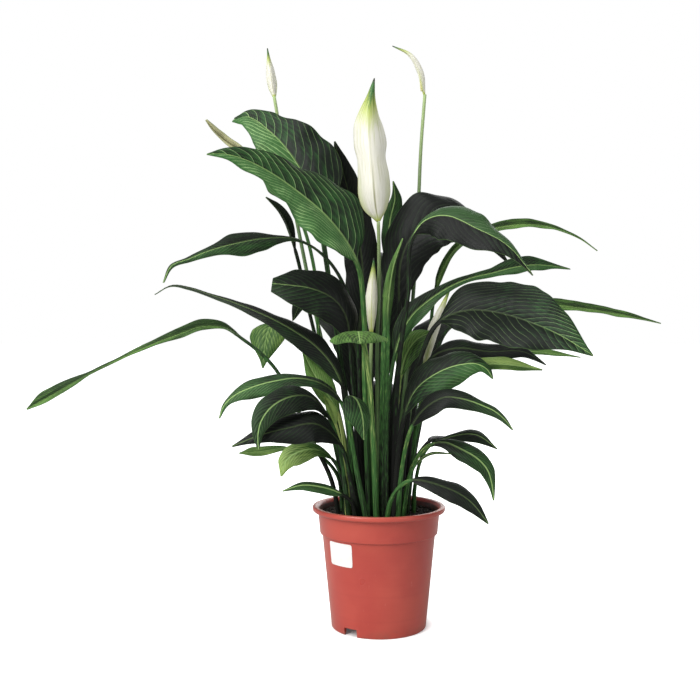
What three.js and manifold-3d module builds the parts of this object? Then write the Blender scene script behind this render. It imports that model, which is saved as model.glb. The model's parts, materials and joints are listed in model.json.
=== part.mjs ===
// Potted peace lily: a plastic nursery pot of potting mix with a clump of leaves and five flowers.
//
// Millimetres, +Z up. The origin is the centre of the pot's foot, on the surface that it stands on.
// +X is to the right and +Y is to the back, so the plant's show side faces -Y.

import * as THREE from 'three';
import { mergeVertices } from 'three/addons/utils/BufferGeometryUtils.js';
import Module from 'manifold-3d';

const wasm = await Module();
wasm.setup();

// ---------------------------------------------------------------- driving dimensions

const GAP = 0.35; // between neighbouring pieces

const POT_HEIGHT = 155;
const POT_RIM_R = 85;
const POT_STEP_Z = 120; // where the collar steps in to the body
const POT_COLLAR_TOP_R = 78;
const POT_COLLAR_LOW_R = 75.4;
const POT_BODY_TOP_R = 72.6;
const POT_FOOT_R = 60.6;
const POT_WALL = 1.8;
const POT_SEGMENTS = 48;
const LIP_HEIGHT = 7;
const POT_CHAMFER = 0.8;
const FOOT_RING_WIDTH = 2.6;
const HOLLOW_DRAFT = 1.5; // how far the sides of the hollow under the floor lean in
const FLOOR_UNDERSIDE_Z = 9;
const FLOOR_THICK = 2;
const PAD_R = 12; // the flat pad under the middle of the floor
const NOTCH_WIDTH = 19;
const NOTCH_HEIGHT = 10;
const NOTCH_REACH = 14; // across the foot, from inside its ring to outside
const NOTCH_ANGLES = [-127, 53]; // degrees round from +X
const DRAIN_HOLES = 6;
const DRAIN_HOLE_R = 5;
const DRAIN_HOLE_SIDES = 12;
const DRAIN_RING_R = 38;

const LABEL_ANGLE = -134; // middle of the label, degrees round from +X
const LABEL_WIDTH = 37;
const LABEL_HEIGHT = 29;
const LABEL_LOW_Z = 88;
const LABEL_CORNER_R = 4;
const LABEL_THICK = 0.4;

const SOIL_EDGE_Z = 146;
const SOIL_CROWN_Z = 149; // the mix is heaped a little in the middle
const SOIL_CROWN_R = 21;
const ROOTED_DEPTH = 12; // how far each stem goes into the mix
const SOCKET_GAP = 0.42; // between a stem and the mix

const LEAF_EDGE_THICK = 0.7;
const LEAF_RIB_THICK = 1.9;
const STEM_R = 2.1; // of a narrow leaf's stem where it meets the blade
const STEM_R_PER_WIDTH = 0.012; // added for each millimetre of the blade's greatest width
const STEM_SWELL = 1.35; // a stem's radius at its root, in radii where it meets the blade
const STEM_NARROWS = [0.15, 0.65]; // the shares of a stem's length between which that swelling goes
const STEM_STEPS = 5;
const BLADE_STEPS = 10;
const FLAT_FROM = 3; // a blade lies flat where its half width passes this many stem radii,
const FLAT_BY = [0.5, 0.9]; // and a narrow one between these shares of its length
const TIP_HALF_WIDTH = 0.6;

const STALK_R = 2.4;
const STALK_TAPER = [1.25, 0.9]; // times that radius, at the root and under the spathe
const STALK_STEPS = 8;
const SPATHE_THICK = 1.1;
const SPATHE_THINNING = 0.6; // of that thickness, at the edges and at the tip
const SPATHE_CUP = 1.8; // above 1, the middle stays flat and the sides turn up
const SPATHE_STEPS = 9;
const SPADIX_R = 4.6;
const SPADIX_LENGTH = 42;
const SPADIX_FROM = 0.05; // share of the spathe that is below its spadix
const SPADIX_LIFT = 1.6; // between the spathe's middle line and the spadix
const SPADIX_ENDS = [0.14, 0.93]; // shares of half a turn, so that the foot is blunter than the tip
const SPADIX_STEPS = 6;

const TONES = {
  dark: 0x2b3a2c,
  mid: 0x335a35,
  veined: 0x2f5233,
  light: 0x5c8a4c,
  pale: 0x8bac62,
  dry: 0x9a9a6a,
};
const LEAF_ROUGHNESS = 0.4;
const FINISH = {
  pot: { colour: 0xbe5046, roughness: 0.42 },
  label: { colour: 0xf2f1ee, roughness: 0.7 },
  soil: { colour: 0x2b2724, roughness: 0.95 },
  stalk: { colour: 0x6f9455, roughness: 0.45 },
  spathe: { colour: 0xecead8, roughness: 0.5 },
  spadix: { colour: 0xd8d3a0, roughness: 0.7 },
};

// Each leaf: its root in the mix, then the points of its midrib above the mix, from stem to tip. Its
// blade starts at point number `bladeFrom`, where the root is point 0, and its `widths` are spread evenly
// from there to the tip. `fold` lifts both halves of the blade and `roll` turns it about its midrib, in
// degrees. A level blade with no roll faces up, and an upright one faces the middle of the clump. `swell`
// is for the stems that widen into a sheath at the root.
const LEAVES = [
  {
    name: 'leaf_upper_left_front', tone: 'veined', bladeFrom: 3, fold: 10, roll: [60, 62, 55],
    widths: [14, 84, 98, 88, 70, 54, 42, 24, 2],
    root: [-12, -33],
    path: [
      [-20, -48, 365], [-21, -60, 425], [-30, -70, 464], [-60, -80, 509], [-104, -94, 546],
      [-142, -108, 569], [-175, -122, 580], [-200, -132, 579],
    ],
  },
  {
    name: 'leaf_upper_left_back', tone: 'veined', bladeFrom: 3, fold: 8, roll: [62, 60, 40],
    widths: [14, 74, 100, 100, 88, 66, 50, 40, 12], swell: 1.7,
    root: [-22, 7],
    path: [
      [-55, 8, 380], [-66, 2, 458], [-78, 0, 527], [-92, 0, 570], [-118, 8, 612],
      [-145, 22, 641], [-171, 36, 660], [-191, 46, 658],
    ],
  },
  {
    name: 'leaf_upper_left_dark', tone: 'dark', bladeFrom: 1, fold: 10, roll: [0, 0], heading: -90,
    widths: [8, 34, 46, 46, 44, 42, 26, 2], swell: 2.3,
    root: [-20, 18],
    path: [
      [-25, 26, 370], [-20, 33, 455], [-29, 36, 520], [-40, 34, 565], [-49, 28, 598],
      [-57, 20, 625],
    ],
  },
  {
    name: 'leaf_upper_left_dry', tone: 'dry', bladeFrom: 4, fold: 55, roll: [60, 50],
    widths: [4, 16, 18, 16, 17, 20, 18, 6],
    root: [-36, 24],
    path: [
      [-66, 28, 276], [-78, 34, 367], [-84, 36, 459], [-106, 44, 534], [-151, 70, 597],
      [-193, 90, 628], [-218, 102, 648], [-238, 110, 672],
    ],
  },
  {
    name: 'leaf_left_under_front', tone: 'dark', bladeFrom: 4, fold: 25, roll: [50, 50],
    widths: [5, 10, 18, 22, 18, 12, 2],
    root: [-37, 3],
    path: [
      [-62, -2, 290], [-85, -8, 386], [-96, -18, 436], [-105, -20, 477], [-114, -22, 504],
      [-124, -26, 526], [-142, -32, 545],
    ],
  },
  {
    name: 'leaf_left_high_arch', tone: 'mid', bladeFrom: 3, fold: -12, roll: [20, 50, 40],
    widths: [10, 9, 17, 33, 37, 22, 12, 7, 2],
    root: [-18, -9],
    path: [
      [-29, -14, 367], [-43, -26, 436], [-68, -36, 471], [-99, -48, 490], [-135, -62, 491],
      [-168, -80, 484], [-200, -100, 473], [-228, -118, 459], [-245, -130, 449],
      [-249, -136, 433],
    ],
  },
  {
    name: 'leaf_left_folded', tone: 'dark', bladeFrom: 2, fold: -12, roll: [68, 68, 60],
    widths: [10, 38, 56, 62, 58, 48, 22], swell: 1.8,
    root: [-20, -26],
    path: [
      [-33, -28, 310], [-37, -40, 365], [-43, -48, 398], [-58, -54, 418], [-84, -58, 430],
      [-111, -60, 434], [-132, -60, 436],
    ],
  },
  {
    name: 'leaf_left_flat_dark', tone: 'dark', bladeFrom: 2, fold: -15, roll: [50, 48, 20],
    widths: [8, 30, 34, 24, 15, 10, 8, 6, 2], swell: 2.2,
    root: [-27, -12],
    path: [
      [-36, -18, 252], [-46, -24, 308], [-68, -30, 348], [-100, -34, 374], [-131, -34, 392],
      [-175, -22, 411], [-223, -2, 427], [-258, 16, 437], [-282, 30, 436], [-295, 38, 427],
    ],
  },
  {
    name: 'leaf_left_long', tone: 'light', bladeFrom: 6, fold: 20, roll: [40, 50, 20, 50],
    widths: [8, 15, 20, 17, 12, 10, 8, 7, 9, 18, 20, 2],
    root: [-50, -10],
    path: [
      [-61, -12, 190], [-85, -14, 240], [-103, -18, 278], [-124, -22, 319], [-147, -28, 352],
      [-170, -36, 368], [-191, -44, 382], [-215, -54, 384], [-247, -70, 373], [-276, -86, 361],
      [-305, -102, 346], [-342, -122, 326], [-372, -138, 307], [-399, -154, 290],
    ],
  },
  {
    name: 'leaf_left_pale_hanging', tone: 'pale', bladeFrom: 4, fold: -8, roll: [0, 0], heading: -110,
    widths: [6, 34, 54, 46, 22, 2],
    root: [-38, 14],
    path: [
      [-56, 12, 276], [-80, 20, 335], [-110, 66, 366], [-130, 98, 380], [-140, 92, 388],
      [-147, 78, 383], [-152, 68, 362], [-155, 64, 328],
    ],
  },
  {
    name: 'leaf_left_small_streaked', tone: 'light', bladeFrom: 2, fold: 12, roll: [75, 75],
    widths: [6, 20, 30, 26, 14, 2],
    root: [-38, -8],
    path: [[-43, -10, 219], [-52, -14, 272], [-68, -16, 301], [-85, -18, 328], [-97, -20, 354]],
  },
  {
    name: 'leaf_low_left_high', tone: 'mid', bladeFrom: 2, fold: -15, roll: [30, 50],
    widths: [8, 18, 24, 30, 34, 28, 13, 2],
    root: [-31, -23],
    path: [
      [-38, -33, 242], [-47, -42, 288], [-68, -48, 311], [-98, -52, 320], [-128, -56, 317],
      [-160, -60, 308], [-186, -64, 293], [-196, -64, 272],
    ],
  },
  {
    name: 'leaf_low_left_arch', tone: 'dark', bladeFrom: 2, fold: -16, roll: [40, 60],
    widths: [8, 26, 38, 40, 34, 20, 2],
    root: [-37, -40],
    path: [
      [-47, -44, 217], [-60, -52, 267], [-84, -72, 298], [-112, -96, 299], [-133, -110, 285],
      [-143, -117, 265], [-143, -120, 241],
    ],
  },
  {
    name: 'leaf_low_left_broad', tone: 'dark', bladeFrom: 2, fold: -12, roll: [40, 62], swell: 2.4,
    widths: [10, 38, 50, 44, 26, 14, 2],
    root: [-25, -37],
    path: [
      [-36, -50, 195], [-49, -67, 241], [-78, -86, 267], [-108, -98, 264], [-145, -106, 255],
      [-175, -108, 243],
    ],
  },
  {
    name: 'leaf_low_left_sliver', tone: 'pale', bladeFrom: 3, fold: 10, roll: [40, 40],
    widths: [6, 12, 16, 16, 2],
    root: [-46, 4],
    path: [[-53, 6, 192], [-80, 4, 220], [-114, -2, 228], [-149, -8, 224], [-178, -14, 223]],
  },
  {
    name: 'leaf_low_left_hanging', tone: 'pale', bladeFrom: 2, fold: -10, roll: [40, 60],
    widths: [5, 14, 26, 32, 22, 2],
    root: [-42, -20],
    path: [
      [-44, -22, 181], [-57, -28, 215], [-78, -36, 230], [-99, -44, 229], [-115, -48, 219],
      [-122, -50, 199],
    ],
  },
  {
    name: 'leaf_lowest_left', tone: 'mid', bladeFrom: 2, fold: -10, roll: [25, 40],
    widths: [8, 20, 20, 12, 2],
    root: [-29, -48],
    path: [[-35, -55, 168], [-47, -63, 179], [-68, -70, 188], [-95, -76, 192], [-118, -80, 186]],
  },
  {
    name: 'leaf_front_hanging', tone: 'mid', bladeFrom: 3, fold: -25, roll: [0, 0],
    widths: [8, 30, 42, 36, 20, 2],
    root: [-15, -51],
    path: [
      [-29, -63, 209], [-38, -77, 271], [-39, -90, 300], [-30, -104, 298], [-23, -114, 280],
      [-21, -118, 252],
    ],
  },
  {
    name: 'leaf_left_sheath', tone: 'pale', bladeFrom: 2, fold: 40, roll: [65, 65],
    widths: [6, 12, 16, 12, 2],
    root: [-39, -31],
    path: [[-46, -29, 217], [-55, -30, 260], [-63, -31, 282], [-71, -33, 299]],
  },
  {
    name: 'leaf_front_folded', tone: 'light', bladeFrom: 3, fold: -16, roll: [0, 0],
    widths: [10, 52, 70, 62, 36, 2],
    root: [-4, -47],
    path: [
      [-8, -58, 233], [-13, -70, 313], [-21, -88, 364], [-27, -118, 377], [-27, -150, 373],
      [-26, -178, 364],
    ],
  },
  {
    name: 'leaf_centre_young', tone: 'light', stem: 5.5, swell: 1.1, bladeFrom: 2, fold: 35,
    roll: [80, 70],
    widths: [11, 14, 16, 13, 8, 2],
    root: [5, -40],
    path: [[5, -47, 269], [7, -52, 367], [10, -54, 416], [16, -52, 456], [28, -48, 492]],
  },
  {
    name: 'leaf_behind_spathe', tone: 'mid', bladeFrom: 2, fold: 15, roll: [80, 80],
    widths: [6, 22, 32, 24, 2],
    root: [4, 22],
    path: [[8, 50, 380], [11, 52, 467], [17, 50, 527], [23, 46, 556], [20, 42, 577]],
  },
  {
    name: 'leaf_right_top_dark', tone: 'dark', bladeFrom: 2, fold: -10, roll: [-62, -60, -50],
    widths: [10, 46, 66, 78, 88, 72, 46, 24, 2], swell: 2.4,
    root: [12, 13],
    path: [
      [28, 16, 350], [27, 14, 412], [29, 8, 468], [46, 2, 505], [76, 2, 527], [108, 12, 523],
      [144, 26, 501], [173, 38, 467],
    ],
  },
  {
    name: 'leaf_right_front_arch', tone: 'dark', bladeFrom: 4, fold: -18, roll: [-50, -44, -20],
    widths: [12, 46, 62, 62, 54, 44, 28, 12, 2], swell: 2.6,
    root: [16, -30],
    path: [
      [20, -38, 310], [33, -50, 408], [37, -57, 462], [41, -64, 495], [56, -74, 512],
      [79, -88, 514], [107, -106, 499], [143, -126, 476], [170, -140, 441],
    ],
  },
  {
    name: 'leaf_right_narrow_high', tone: 'light', bladeFrom: 3, fold: 25, roll: [-40, -60, -30],
    widths: [8, 12, 12, 14, 18, 18, 13, 6, 2],
    root: [24, 20],
    path: [
      [52, 38, 290], [68, 46, 367], [77, 50, 431], [88, 54, 463], [104, 60, 488],
      [125, 68, 505], [158, 84, 518], [207, 108, 527], [252, 130, 524], [295, 148, 511],
      [321, 156, 495],
    ],
  },
  {
    name: 'leaf_right_long_arch', tone: 'mid', bladeFrom: 2, fold: 12, roll: [-40, -50, -50],
    widths: [8, 22, 32, 26, 17, 13, 12, 18, 30, 26, 11, 2],
    root: [8, -22],
    path: [
      [11, -20, 279], [19, -22, 346], [35, -28, 390], [65, -34, 419], [91, -30, 435],
      [119, -18, 446], [149, -6, 453], [183, 8, 462], [217, 22, 464], [253, 34, 460],
    ],
  },
  {
    name: 'leaf_right_broad', tone: 'veined', bladeFrom: 3, fold: 8, roll: [-60, -62, -50],
    widths: [12, 58, 76, 84, 86, 76, 54, 26, 2], swell: 2,
    root: [21, -12],
    path: [
      [41, -20, 304], [55, -34, 355], [74, -44, 390], [108, -60, 403], [143, -82, 399],
      [174, -104, 388], [204, -126, 373], [237, -146, 350],
    ],
  },
  {
    name: 'leaf_right_under_dark', tone: 'dark', bladeFrom: 2, fold: -10, roll: [-55, -45],
    widths: [8, 30, 36, 30, 24, 14, 2],
    root: [32, 2],
    path: [
      [48, 2, 290], [65, -8, 342], [96, -18, 356], [138, -26, 352], [180, -30, 352],
      [208, -32, 336],
    ],
  },
  {
    name: 'leaf_right_under_olive', tone: 'pale', bladeFrom: 3, fold: 15, roll: [-45, -55],
    widths: [5, 14, 20, 22, 13, 2],
    root: [34, -16],
    path: [
      [46, -20, 240], [58, -28, 290], [80, -40, 322], [108, -50, 334], [146, -60, 337],
      [196, -68, 331],
    ],
  },
  {
    name: 'leaf_right_under_tip', tone: 'light', bladeFrom: 2, fold: 20, roll: [-40, -40],
    widths: [4, 10, 14, 16, 12, 2],
    root: [34, 13],
    path: [[58, 21, 294], [84, 20, 338], [133, 24, 354], [203, 44, 351], [274, 62, 343]],
  },
  {
    name: 'leaf_right_ribbon', tone: 'light', bladeFrom: 2, fold: 25, roll: [-50, -60, -40],
    widths: [6, 12, 16, 20, 20, 18, 13, 2],
    root: [33, 27],
    path: [
      [70, 52, 313], [93, 62, 378], [141, 80, 405], [214, 106, 416], [290, 130, 411],
      [353, 150, 402], [418, 170, 390],
    ],
  },
  {
    name: 'leaf_right_inner_green', tone: 'light', bladeFrom: 2, fold: 10, roll: [-70, -60],
    widths: [8, 24, 34, 24, 2],
    root: [10, -3],
    path: [[22, -4, 271], [28, -8, 322], [37, -10, 352], [49, -12, 368], [70, -12, 378]],
  },
  {
    name: 'leaf_low_right_high', tone: 'mid', bladeFrom: 2, fold: -10, roll: [-55, -60],
    widths: [8, 28, 48, 54, 44, 22, 2],
    root: [18, -42],
    path: [
      [22, -48, 225], [30, -56, 275], [43, -64, 307], [69, -72, 328], [97, -78, 338],
      [121, -82, 337], [134, -82, 321],
    ],
  },
  {
    name: 'leaf_low_right_arch', tone: 'dark', bladeFrom: 2, fold: -12, roll: [-50, -50, -40],
    widths: [6, 22, 32, 28, 24, 18, 12, 2],
    root: [21, -53],
    path: [
      [27, -60, 214], [37, -78, 262], [52, -92, 286], [75, -100, 300], [96, -104, 298],
      [117, -106, 291], [138, -106, 280], [154, -104, 262],
    ],
  },
  {
    name: 'leaf_low_right_flat', tone: 'dark', bladeFrom: 2, fold: -10, roll: [-30, -30],
    widths: [5, 14, 18, 24, 20, 2],
    root: [44, -4],
    path: [[47, -8, 188], [60, -14, 228], [86, -22, 243], [120, -30, 248], [147, -36, 231]],
  },
  {
    name: 'leaf_low_right_hanging', tone: 'mid', bladeFrom: 3, fold: -12, roll: [-50, -60],
    widths: [5, 12, 22, 28, 26, 18, 9, 2],
    root: [30, -25],
    path: [
      [34, -28, 180], [44, -34, 215], [60, -44, 236], [79, -54, 241], [98, -62, 234],
      [115, -68, 225], [128, -71, 212], [134, -72, 195], [137, -71, 173],
    ],
  },
  {
    name: 'leaf_low_right_sliver', tone: 'dark', bladeFrom: 2, fold: 10, roll: [-20, -20],
    widths: [4, 8, 10, 8, 2],
    root: [28, -37],
    path: [[33, -42, 174], [41, -50, 210], [60, -58, 227], [86, -66, 229]],
  },
  {
    name: 'leaf_lowest_right', tone: 'dark', bladeFrom: 3, fold: -12, roll: [-40, -50],
    widths: [6, 18, 26, 30, 26, 15, 2],
    root: [8, -54],
    path: [
      [11, -64, 166], [20, -74, 187], [35, -82, 199], [53, -90, 199], [75, -96, 193],
      [92, -100, 186], [107, -102, 175], [126, -102, 151],
    ],
  },
  {
    name: 'leaf_back_left', tone: 'dark', bladeFrom: 1, fold: -12, roll: [0, 0],
    widths: [8, 36, 48, 60, 66, 58, 34, 2],
    root: [-12, 30],
    path: [
      [-17, 52, 230], [-21, 62, 310], [-42, 92, 385], [-78, 146, 425], [-108, 200, 424],
      [-125, 238, 395],
    ],
  },
  {
    name: 'leaf_back_middle', tone: 'dark', bladeFrom: 1, fold: -10, roll: [0, 0],
    widths: [8, 44, 60, 76, 78, 68, 42, 2],
    root: [1, 35],
    path: [
      [4, 64, 300], [6, 82, 380], [6, 112, 446], [12, 156, 488], [15, 210, 490],
      [15, 260, 450],
    ],
  },
  {
    name: 'leaf_back_right', tone: 'dark', bladeFrom: 1, fold: -12, roll: [0, 0],
    widths: [8, 36, 48, 60, 66, 58, 34, 2],
    root: [13, 36],
    path: [
      [28, 60, 230], [40, 74, 310], [66, 100, 372], [108, 146, 406], [150, 195, 402],
      [180, 225, 368],
    ],
  },
  {
    name: 'leaf_back_low_left', tone: 'dark', bladeFrom: 2, fold: -15, roll: [0, 0],
    widths: [6, 30, 42, 30, 2],
    root: [-34, 37],
    path: [[-46, 62, 215], [-62, 95, 242], [-78, 130, 245], [-92, 158, 225]],
  },
  {
    name: 'leaf_back_low_middle', tone: 'dark', bladeFrom: 1, fold: -15, roll: [0, 0],
    widths: [8, 36, 44, 46, 40, 24, 2],
    root: [4, 48],
    path: [[4, 72, 210], [5, 84, 262], [6, 112, 300], [5, 160, 304], [0, 205, 262]],
  },
  {
    name: 'leaf_back_low_right', tone: 'dark', bladeFrom: 2, fold: -15, roll: [0, 0],
    widths: [6, 30, 42, 30, 2],
    root: [27, 39],
    path: [[52, 64, 205], [76, 96, 228], [94, 130, 228], [108, 156, 205]],
  },
];

// Each flower: its root in the mix, the points of its stalk above the mix, then the points of its spathe
// from foot to tip, with its `widths` spread evenly along it.
const FLOWERS = [
  {
    name: 'flower_main', fold: 40, roll: [0, 5, -15], heading: -90,
    widths: [6, 42, 55, 52, 47, 55, 50, 32, 13, 1.6],
    root: [-1, -4],
    stalk: [[-2, -6, 367], [0, -8, 443], [-1, -10, 517]],
    spathe: [[-5, -11, 540], [-8, -12, 576], [-12, -12, 618], [-12, -10, 657], [-6, -8, 699]],
  },
  {
    name: 'flower_left_tall', fold: 50, roll: [0, 0], heading: -90, spadix: 0.6,
    widths: [7, 18, 20, 16, 7, 1.6],
    root: [-22, 36],
    stalk: [[-56, 42, 287], [-82, 48, 397], [-107, 54, 520], [-126, 54, 620], [-138, 52, 691]],
    spathe: [[-143, 52, 721], [-147, 52, 755]],
  },
  {
    name: 'flower_right_tall', fold: 50, roll: [0, 0], heading: 0, spadix: 0.5,
    widths: [6, 16, 18, 14, 7, 1.6],
    root: [15, 24],
    stalk: [[34, 36, 287], [50, 40, 473], [57, 42, 623], [62, 42, 691]],
    spathe: [[60, 42, 720], [45, 42, 744], [19, 42, 755]],
  },
  {
    name: 'flower_low_left', closed: true, heading: -90,
    widths: [5, 12, 15, 13, 7, 1.6],
    root: [-9, -13],
    stalk: [[-12, -15, 265], [-10, -18, 377]],
    spathe: [[-10, -20, 417], [-7, -20, 470]],
  },
  {
    name: 'flower_low_right', closed: true, heading: -90,
    widths: [5, 11, 14, 12, 6, 1.6],
    root: [22, 9],
    stalk: [[39, 11, 250], [60, 12, 333]],
    spathe: [[69, 12, 373], [80, 14, 403], [94, 16, 436]],
  },
];

// ---------------------------------------------------------------- solids

function solidOf(geometry) {
  const bare = geometry.index ? geometry.clone() : geometry;
  bare.deleteAttribute('normal');
  bare.deleteAttribute('uv');
  const welded = mergeVertices(bare, 1e-4);
  return new wasm.Manifold(new wasm.Mesh({
    numProp: 3,
    vertProperties: new Float32Array(welded.attributes.position.array),
    triVerts: new Uint32Array(welded.index.array),
  }));
}

function geometryOf(solid) {
  const mesh = solid.getMesh();
  const positions = [];
  for (let i = 0; i < mesh.vertProperties.length; i += mesh.numProp) {
    positions.push(...mesh.vertProperties.slice(i, i + 3));
  }
  const geometry = new THREE.BufferGeometry();
  geometry.setAttribute('position', new THREE.Float32BufferAttribute(positions, 3));
  geometry.setIndex(Array.from(mesh.triVerts));
  geometry.computeVertexNormals();
  return geometry;
}

// A lathe about Z from [radius, height] pairs that start and end on the axis.
function turned(profile) {
  const points = profile.map(([r, z]) => new THREE.Vector2(r, z));
  return new THREE.LatheGeometry(points, POT_SEGMENTS).rotateX(Math.PI / 2);
}

function named(name, geometry, { colour, roughness }) {
  const material = new THREE.MeshStandardMaterial({ color: colour, roughness, metalness: 0 });
  const mesh = new THREE.Mesh(geometry, material);
  mesh.name = name;
  return mesh;
}

const radians = THREE.MathUtils.degToRad;
const { lerp, smoothstep } = THREE.MathUtils;
const HEXAGON = Math.cos(Math.PI / 6); // half a hexagon's width across its flats, in radii

// ---------------------------------------------------------------- swept strips

// The frame of a strip at one place: along the curve, across to its right, and up from its face.
function frameAt(curve, at, heading, roll) {
  const along = curve.getTangentAt(at);
  const across = new THREE.Vector3(Math.sin(heading), -Math.cos(heading), 0);
  across.addScaledVector(along, -across.dot(along)).normalize();
  across.applyAxisAngle(along, -radians(roll));
  const up = new THREE.Vector3().crossVectors(across, along);
  return { origin: curve.getPointAt(at), along, across, up };
}

// One closed outline round a strip: its face from left to right, then its back from right to left.
function outline(frame, { half, fold, cup = 1, ribHalf, edgeHalf, ahead = 0 }, columns) {
  const place = (u, side) => {
    const lean = radians(fold);
    const thick = lerp(ribHalf, edgeHalf, Math.abs(u));
    const rise = half * Math.abs(u) ** cup * Math.sin(lean) + side * thick;
    return frame.origin.clone()
      .addScaledVector(frame.across, half * u * Math.cos(lean))
      .addScaledVector(frame.up, rise)
      .addScaledVector(frame.along, ahead);
  };
  return [...columns.map((u) => place(u, 1)), ...columns.toReversed().map((u) => place(u, -1))];
}

// A closed solid through the outlines, with a flat end on the first and the last. Face and back are cut
// along the same diagonals, so that a twisted strip keeps its thickness.
function loft(outlines) {
  const count = outlines[0].length;
  const columns = count / 2;
  const triangles = [];
  for (let ring = 0; ring + 1 < outlines.length; ring += 1) {
    for (let i = 0; i < count; i += 1) {
      const a = ring * count + i;
      const b = ring * count + ((i + 1) % count);
      if (i < columns) {
        triangles.push(a, b, b + count, a, b + count, a + count);
      } else {
        triangles.push(a, b, a + count, b, b + count, a + count);
      }
    }
  }
  const last = (outlines.length - 1) * count;
  for (let i = 0; i + 1 < columns; i += 1) {
    const below = count - 1 - i;
    triangles.push(i, below, below - 1, i, below - 1, i + 1);
    triangles.push(last + i, last + below - 1, last + below, last + i, last + i + 1, last + below - 1);
  }
  const geometry = new THREE.BufferGeometry().setFromPoints(outlines.flat());
  geometry.setIndex(triangles);
  geometry.computeVertexNormals();
  return geometry;
}

function sweep(curve, heading, stations, columns) {
  return loft(stations.map((s) => outline(frameAt(curve, s.at, heading, s.roll), s, columns)));
}

function curveThrough(points) {
  return new THREE.CatmullRomCurve3(points.map((p) => new THREE.Vector3(...p)), false, 'centripetal');
}

// Where the curve passes its point number `index`, as a share of its length.
function shareAt(curve, index) {
  const finely = 50; // measured lengths for each point
  const lengths = curve.getLengths(finely * (curve.points.length - 1));
  return lengths[finely * index] / lengths.at(-1);
}

const ROOT_Z = SOIL_CROWN_Z - ROOTED_DEPTH;

function stemThrough([x, y], path) {
  return curveThrough([[x, y, ROOT_Z], ...path]);
}

// A smooth run of full widths, spread evenly along a blade.
function widthCurveOf(widths) {
  return new THREE.SplineCurve(widths.map((w, i) => new THREE.Vector2(i, w)));
}

function valueAlong(list, t) {
  const place = THREE.MathUtils.clamp(t, 0, 1) * (list.length - 1);
  const i = Math.min(Math.floor(place), list.length - 2);
  return lerp(list[i], list[i + 1], place - i);
}

// ---------------------------------------------------------------- leaves

const LEAF_COLUMNS = [-1, 0, 1];

function leafHeading({ path, bladeFrom, heading }) {
  if (heading !== undefined) return radians(heading);
  const [start, tip] = [path[bladeFrom - 1], path.at(-1)];
  return Math.atan2(tip[1] - start[1], tip[0] - start[0]);
}

function leafStations(curve, { widths, fold, roll, bladeFrom, stem: stemTop, swell = STEM_SWELL }) {
  const bladeStart = shareAt(curve, bladeFrom);
  const widthCurve = widthCurveOf(widths);
  const stations = [];
  for (let i = 0; i < STEM_STEPS; i += 1) {
    stations.push({ at: (bladeStart * i) / STEM_STEPS, t: 0 });
  }
  for (let i = 0; i <= BLADE_STEPS; i += 1) {
    const t = i / BLADE_STEPS;
    stations.push({ at: lerp(bladeStart, 1, t), t });
  }
  return stations.map(({ at, t }) => {
    const stem = stemTop * lerp(swell, 1, smoothstep(at / bladeStart, ...STEM_NARROWS));
    const bladeHalf = Math.max(widthCurve.getPoint(t).y / 2, TIP_HALF_WIDTH);
    const spread = smoothstep(bladeHalf, 0, stem * FLAT_FROM) + smoothstep(t, ...FLAT_BY);
    const flat = t > 0 ? Math.min(1, spread) : 0;
    const stemHalf = stem * HEXAGON;
    return {
      at,
      roll: valueAlong(roll, t),
      half: at < bladeStart ? stemHalf : Math.max(bladeHalf, stemHalf * (1 - flat)),
      fold: fold * flat,
      ribHalf: lerp(stem, lerp(LEAF_RIB_THICK, LEAF_EDGE_THICK, t) / 2, flat),
      edgeHalf: lerp(stem / 2, LEAF_EDGE_THICK / 2, flat),
    };
  });
}

function makeLeaf(leaf) {
  const curve = stemThrough(leaf.root, leaf.path);
  const heading = leafHeading(leaf);
  const stem = leaf.stem ?? STEM_R + STEM_R_PER_WIDTH * Math.max(...leaf.widths);
  const stations = leafStations(curve, { ...leaf, stem });
  const solid = sweep(curve, heading, stations, LEAF_COLUMNS);
  return {
    mesh: named(leaf.name, solid, { colour: TONES[leaf.tone], roughness: LEAF_ROUGHNESS }),
    socket: socketFor(curve, heading, stations),
  };
}

// The hole that a stem needs in the mix: its lowest stretch, a gap wider and a little deeper.
function socketFor(curve, heading, stations) {
  const above = stations.findIndex(({ at }) => curve.getPointAt(at).z > SOIL_CROWN_Z + SOCKET_GAP);
  const wider = stations.slice(0, above + 1).map((station, i) => ({
    ...station,
    ahead: i === 0 ? -2 * SOCKET_GAP : 0,
    half: station.half + SOCKET_GAP,
    ribHalf: station.ribHalf + SOCKET_GAP,
    edgeHalf: station.edgeHalf + SOCKET_GAP,
  }));
  return sweep(curve, heading, wider, LEAF_COLUMNS);
}

// ---------------------------------------------------------------- flowers

const SPATHE_COLUMNS = [-1, -0.5, 0, 0.5, 1];

function roundStations(count, radiusAt) {
  return Array.from({ length: count + 1 }, (_, i) => {
    const at = i / count;
    const radius = radiusAt(at);
    return { at, roll: 0, fold: 0, half: radius * HEXAGON, ribHalf: radius, edgeHalf: radius / 2 };
  });
}

function openSpathe(curve, heading, { widths, fold, roll }) {
  const widthCurve = widthCurveOf(widths);
  const stations = Array.from({ length: SPATHE_STEPS + 1 }, (_, i) => {
    const t = i / SPATHE_STEPS;
    const thick = (SPATHE_THICK / 2) * lerp(1, SPATHE_THINNING, t);
    return {
      at: t,
      roll: valueAlong(roll, t),
      fold,
      cup: SPATHE_CUP,
      half: widthCurve.getPoint(t).y / 2,
      ribHalf: thick,
      edgeHalf: thick * SPATHE_THINNING,
    };
  });
  return sweep(curve, heading, stations, SPATHE_COLUMNS);
}

// A spathe that is still rolled up round its spadix.
function closedSpathe(curve, heading, { widths }) {
  const widthCurve = widthCurveOf(widths);
  const stations = roundStations(SPATHE_STEPS, (t) => widthCurve.getPoint(t).y / 2);
  return sweep(curve, heading, stations, LEAF_COLUMNS);
}

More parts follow.
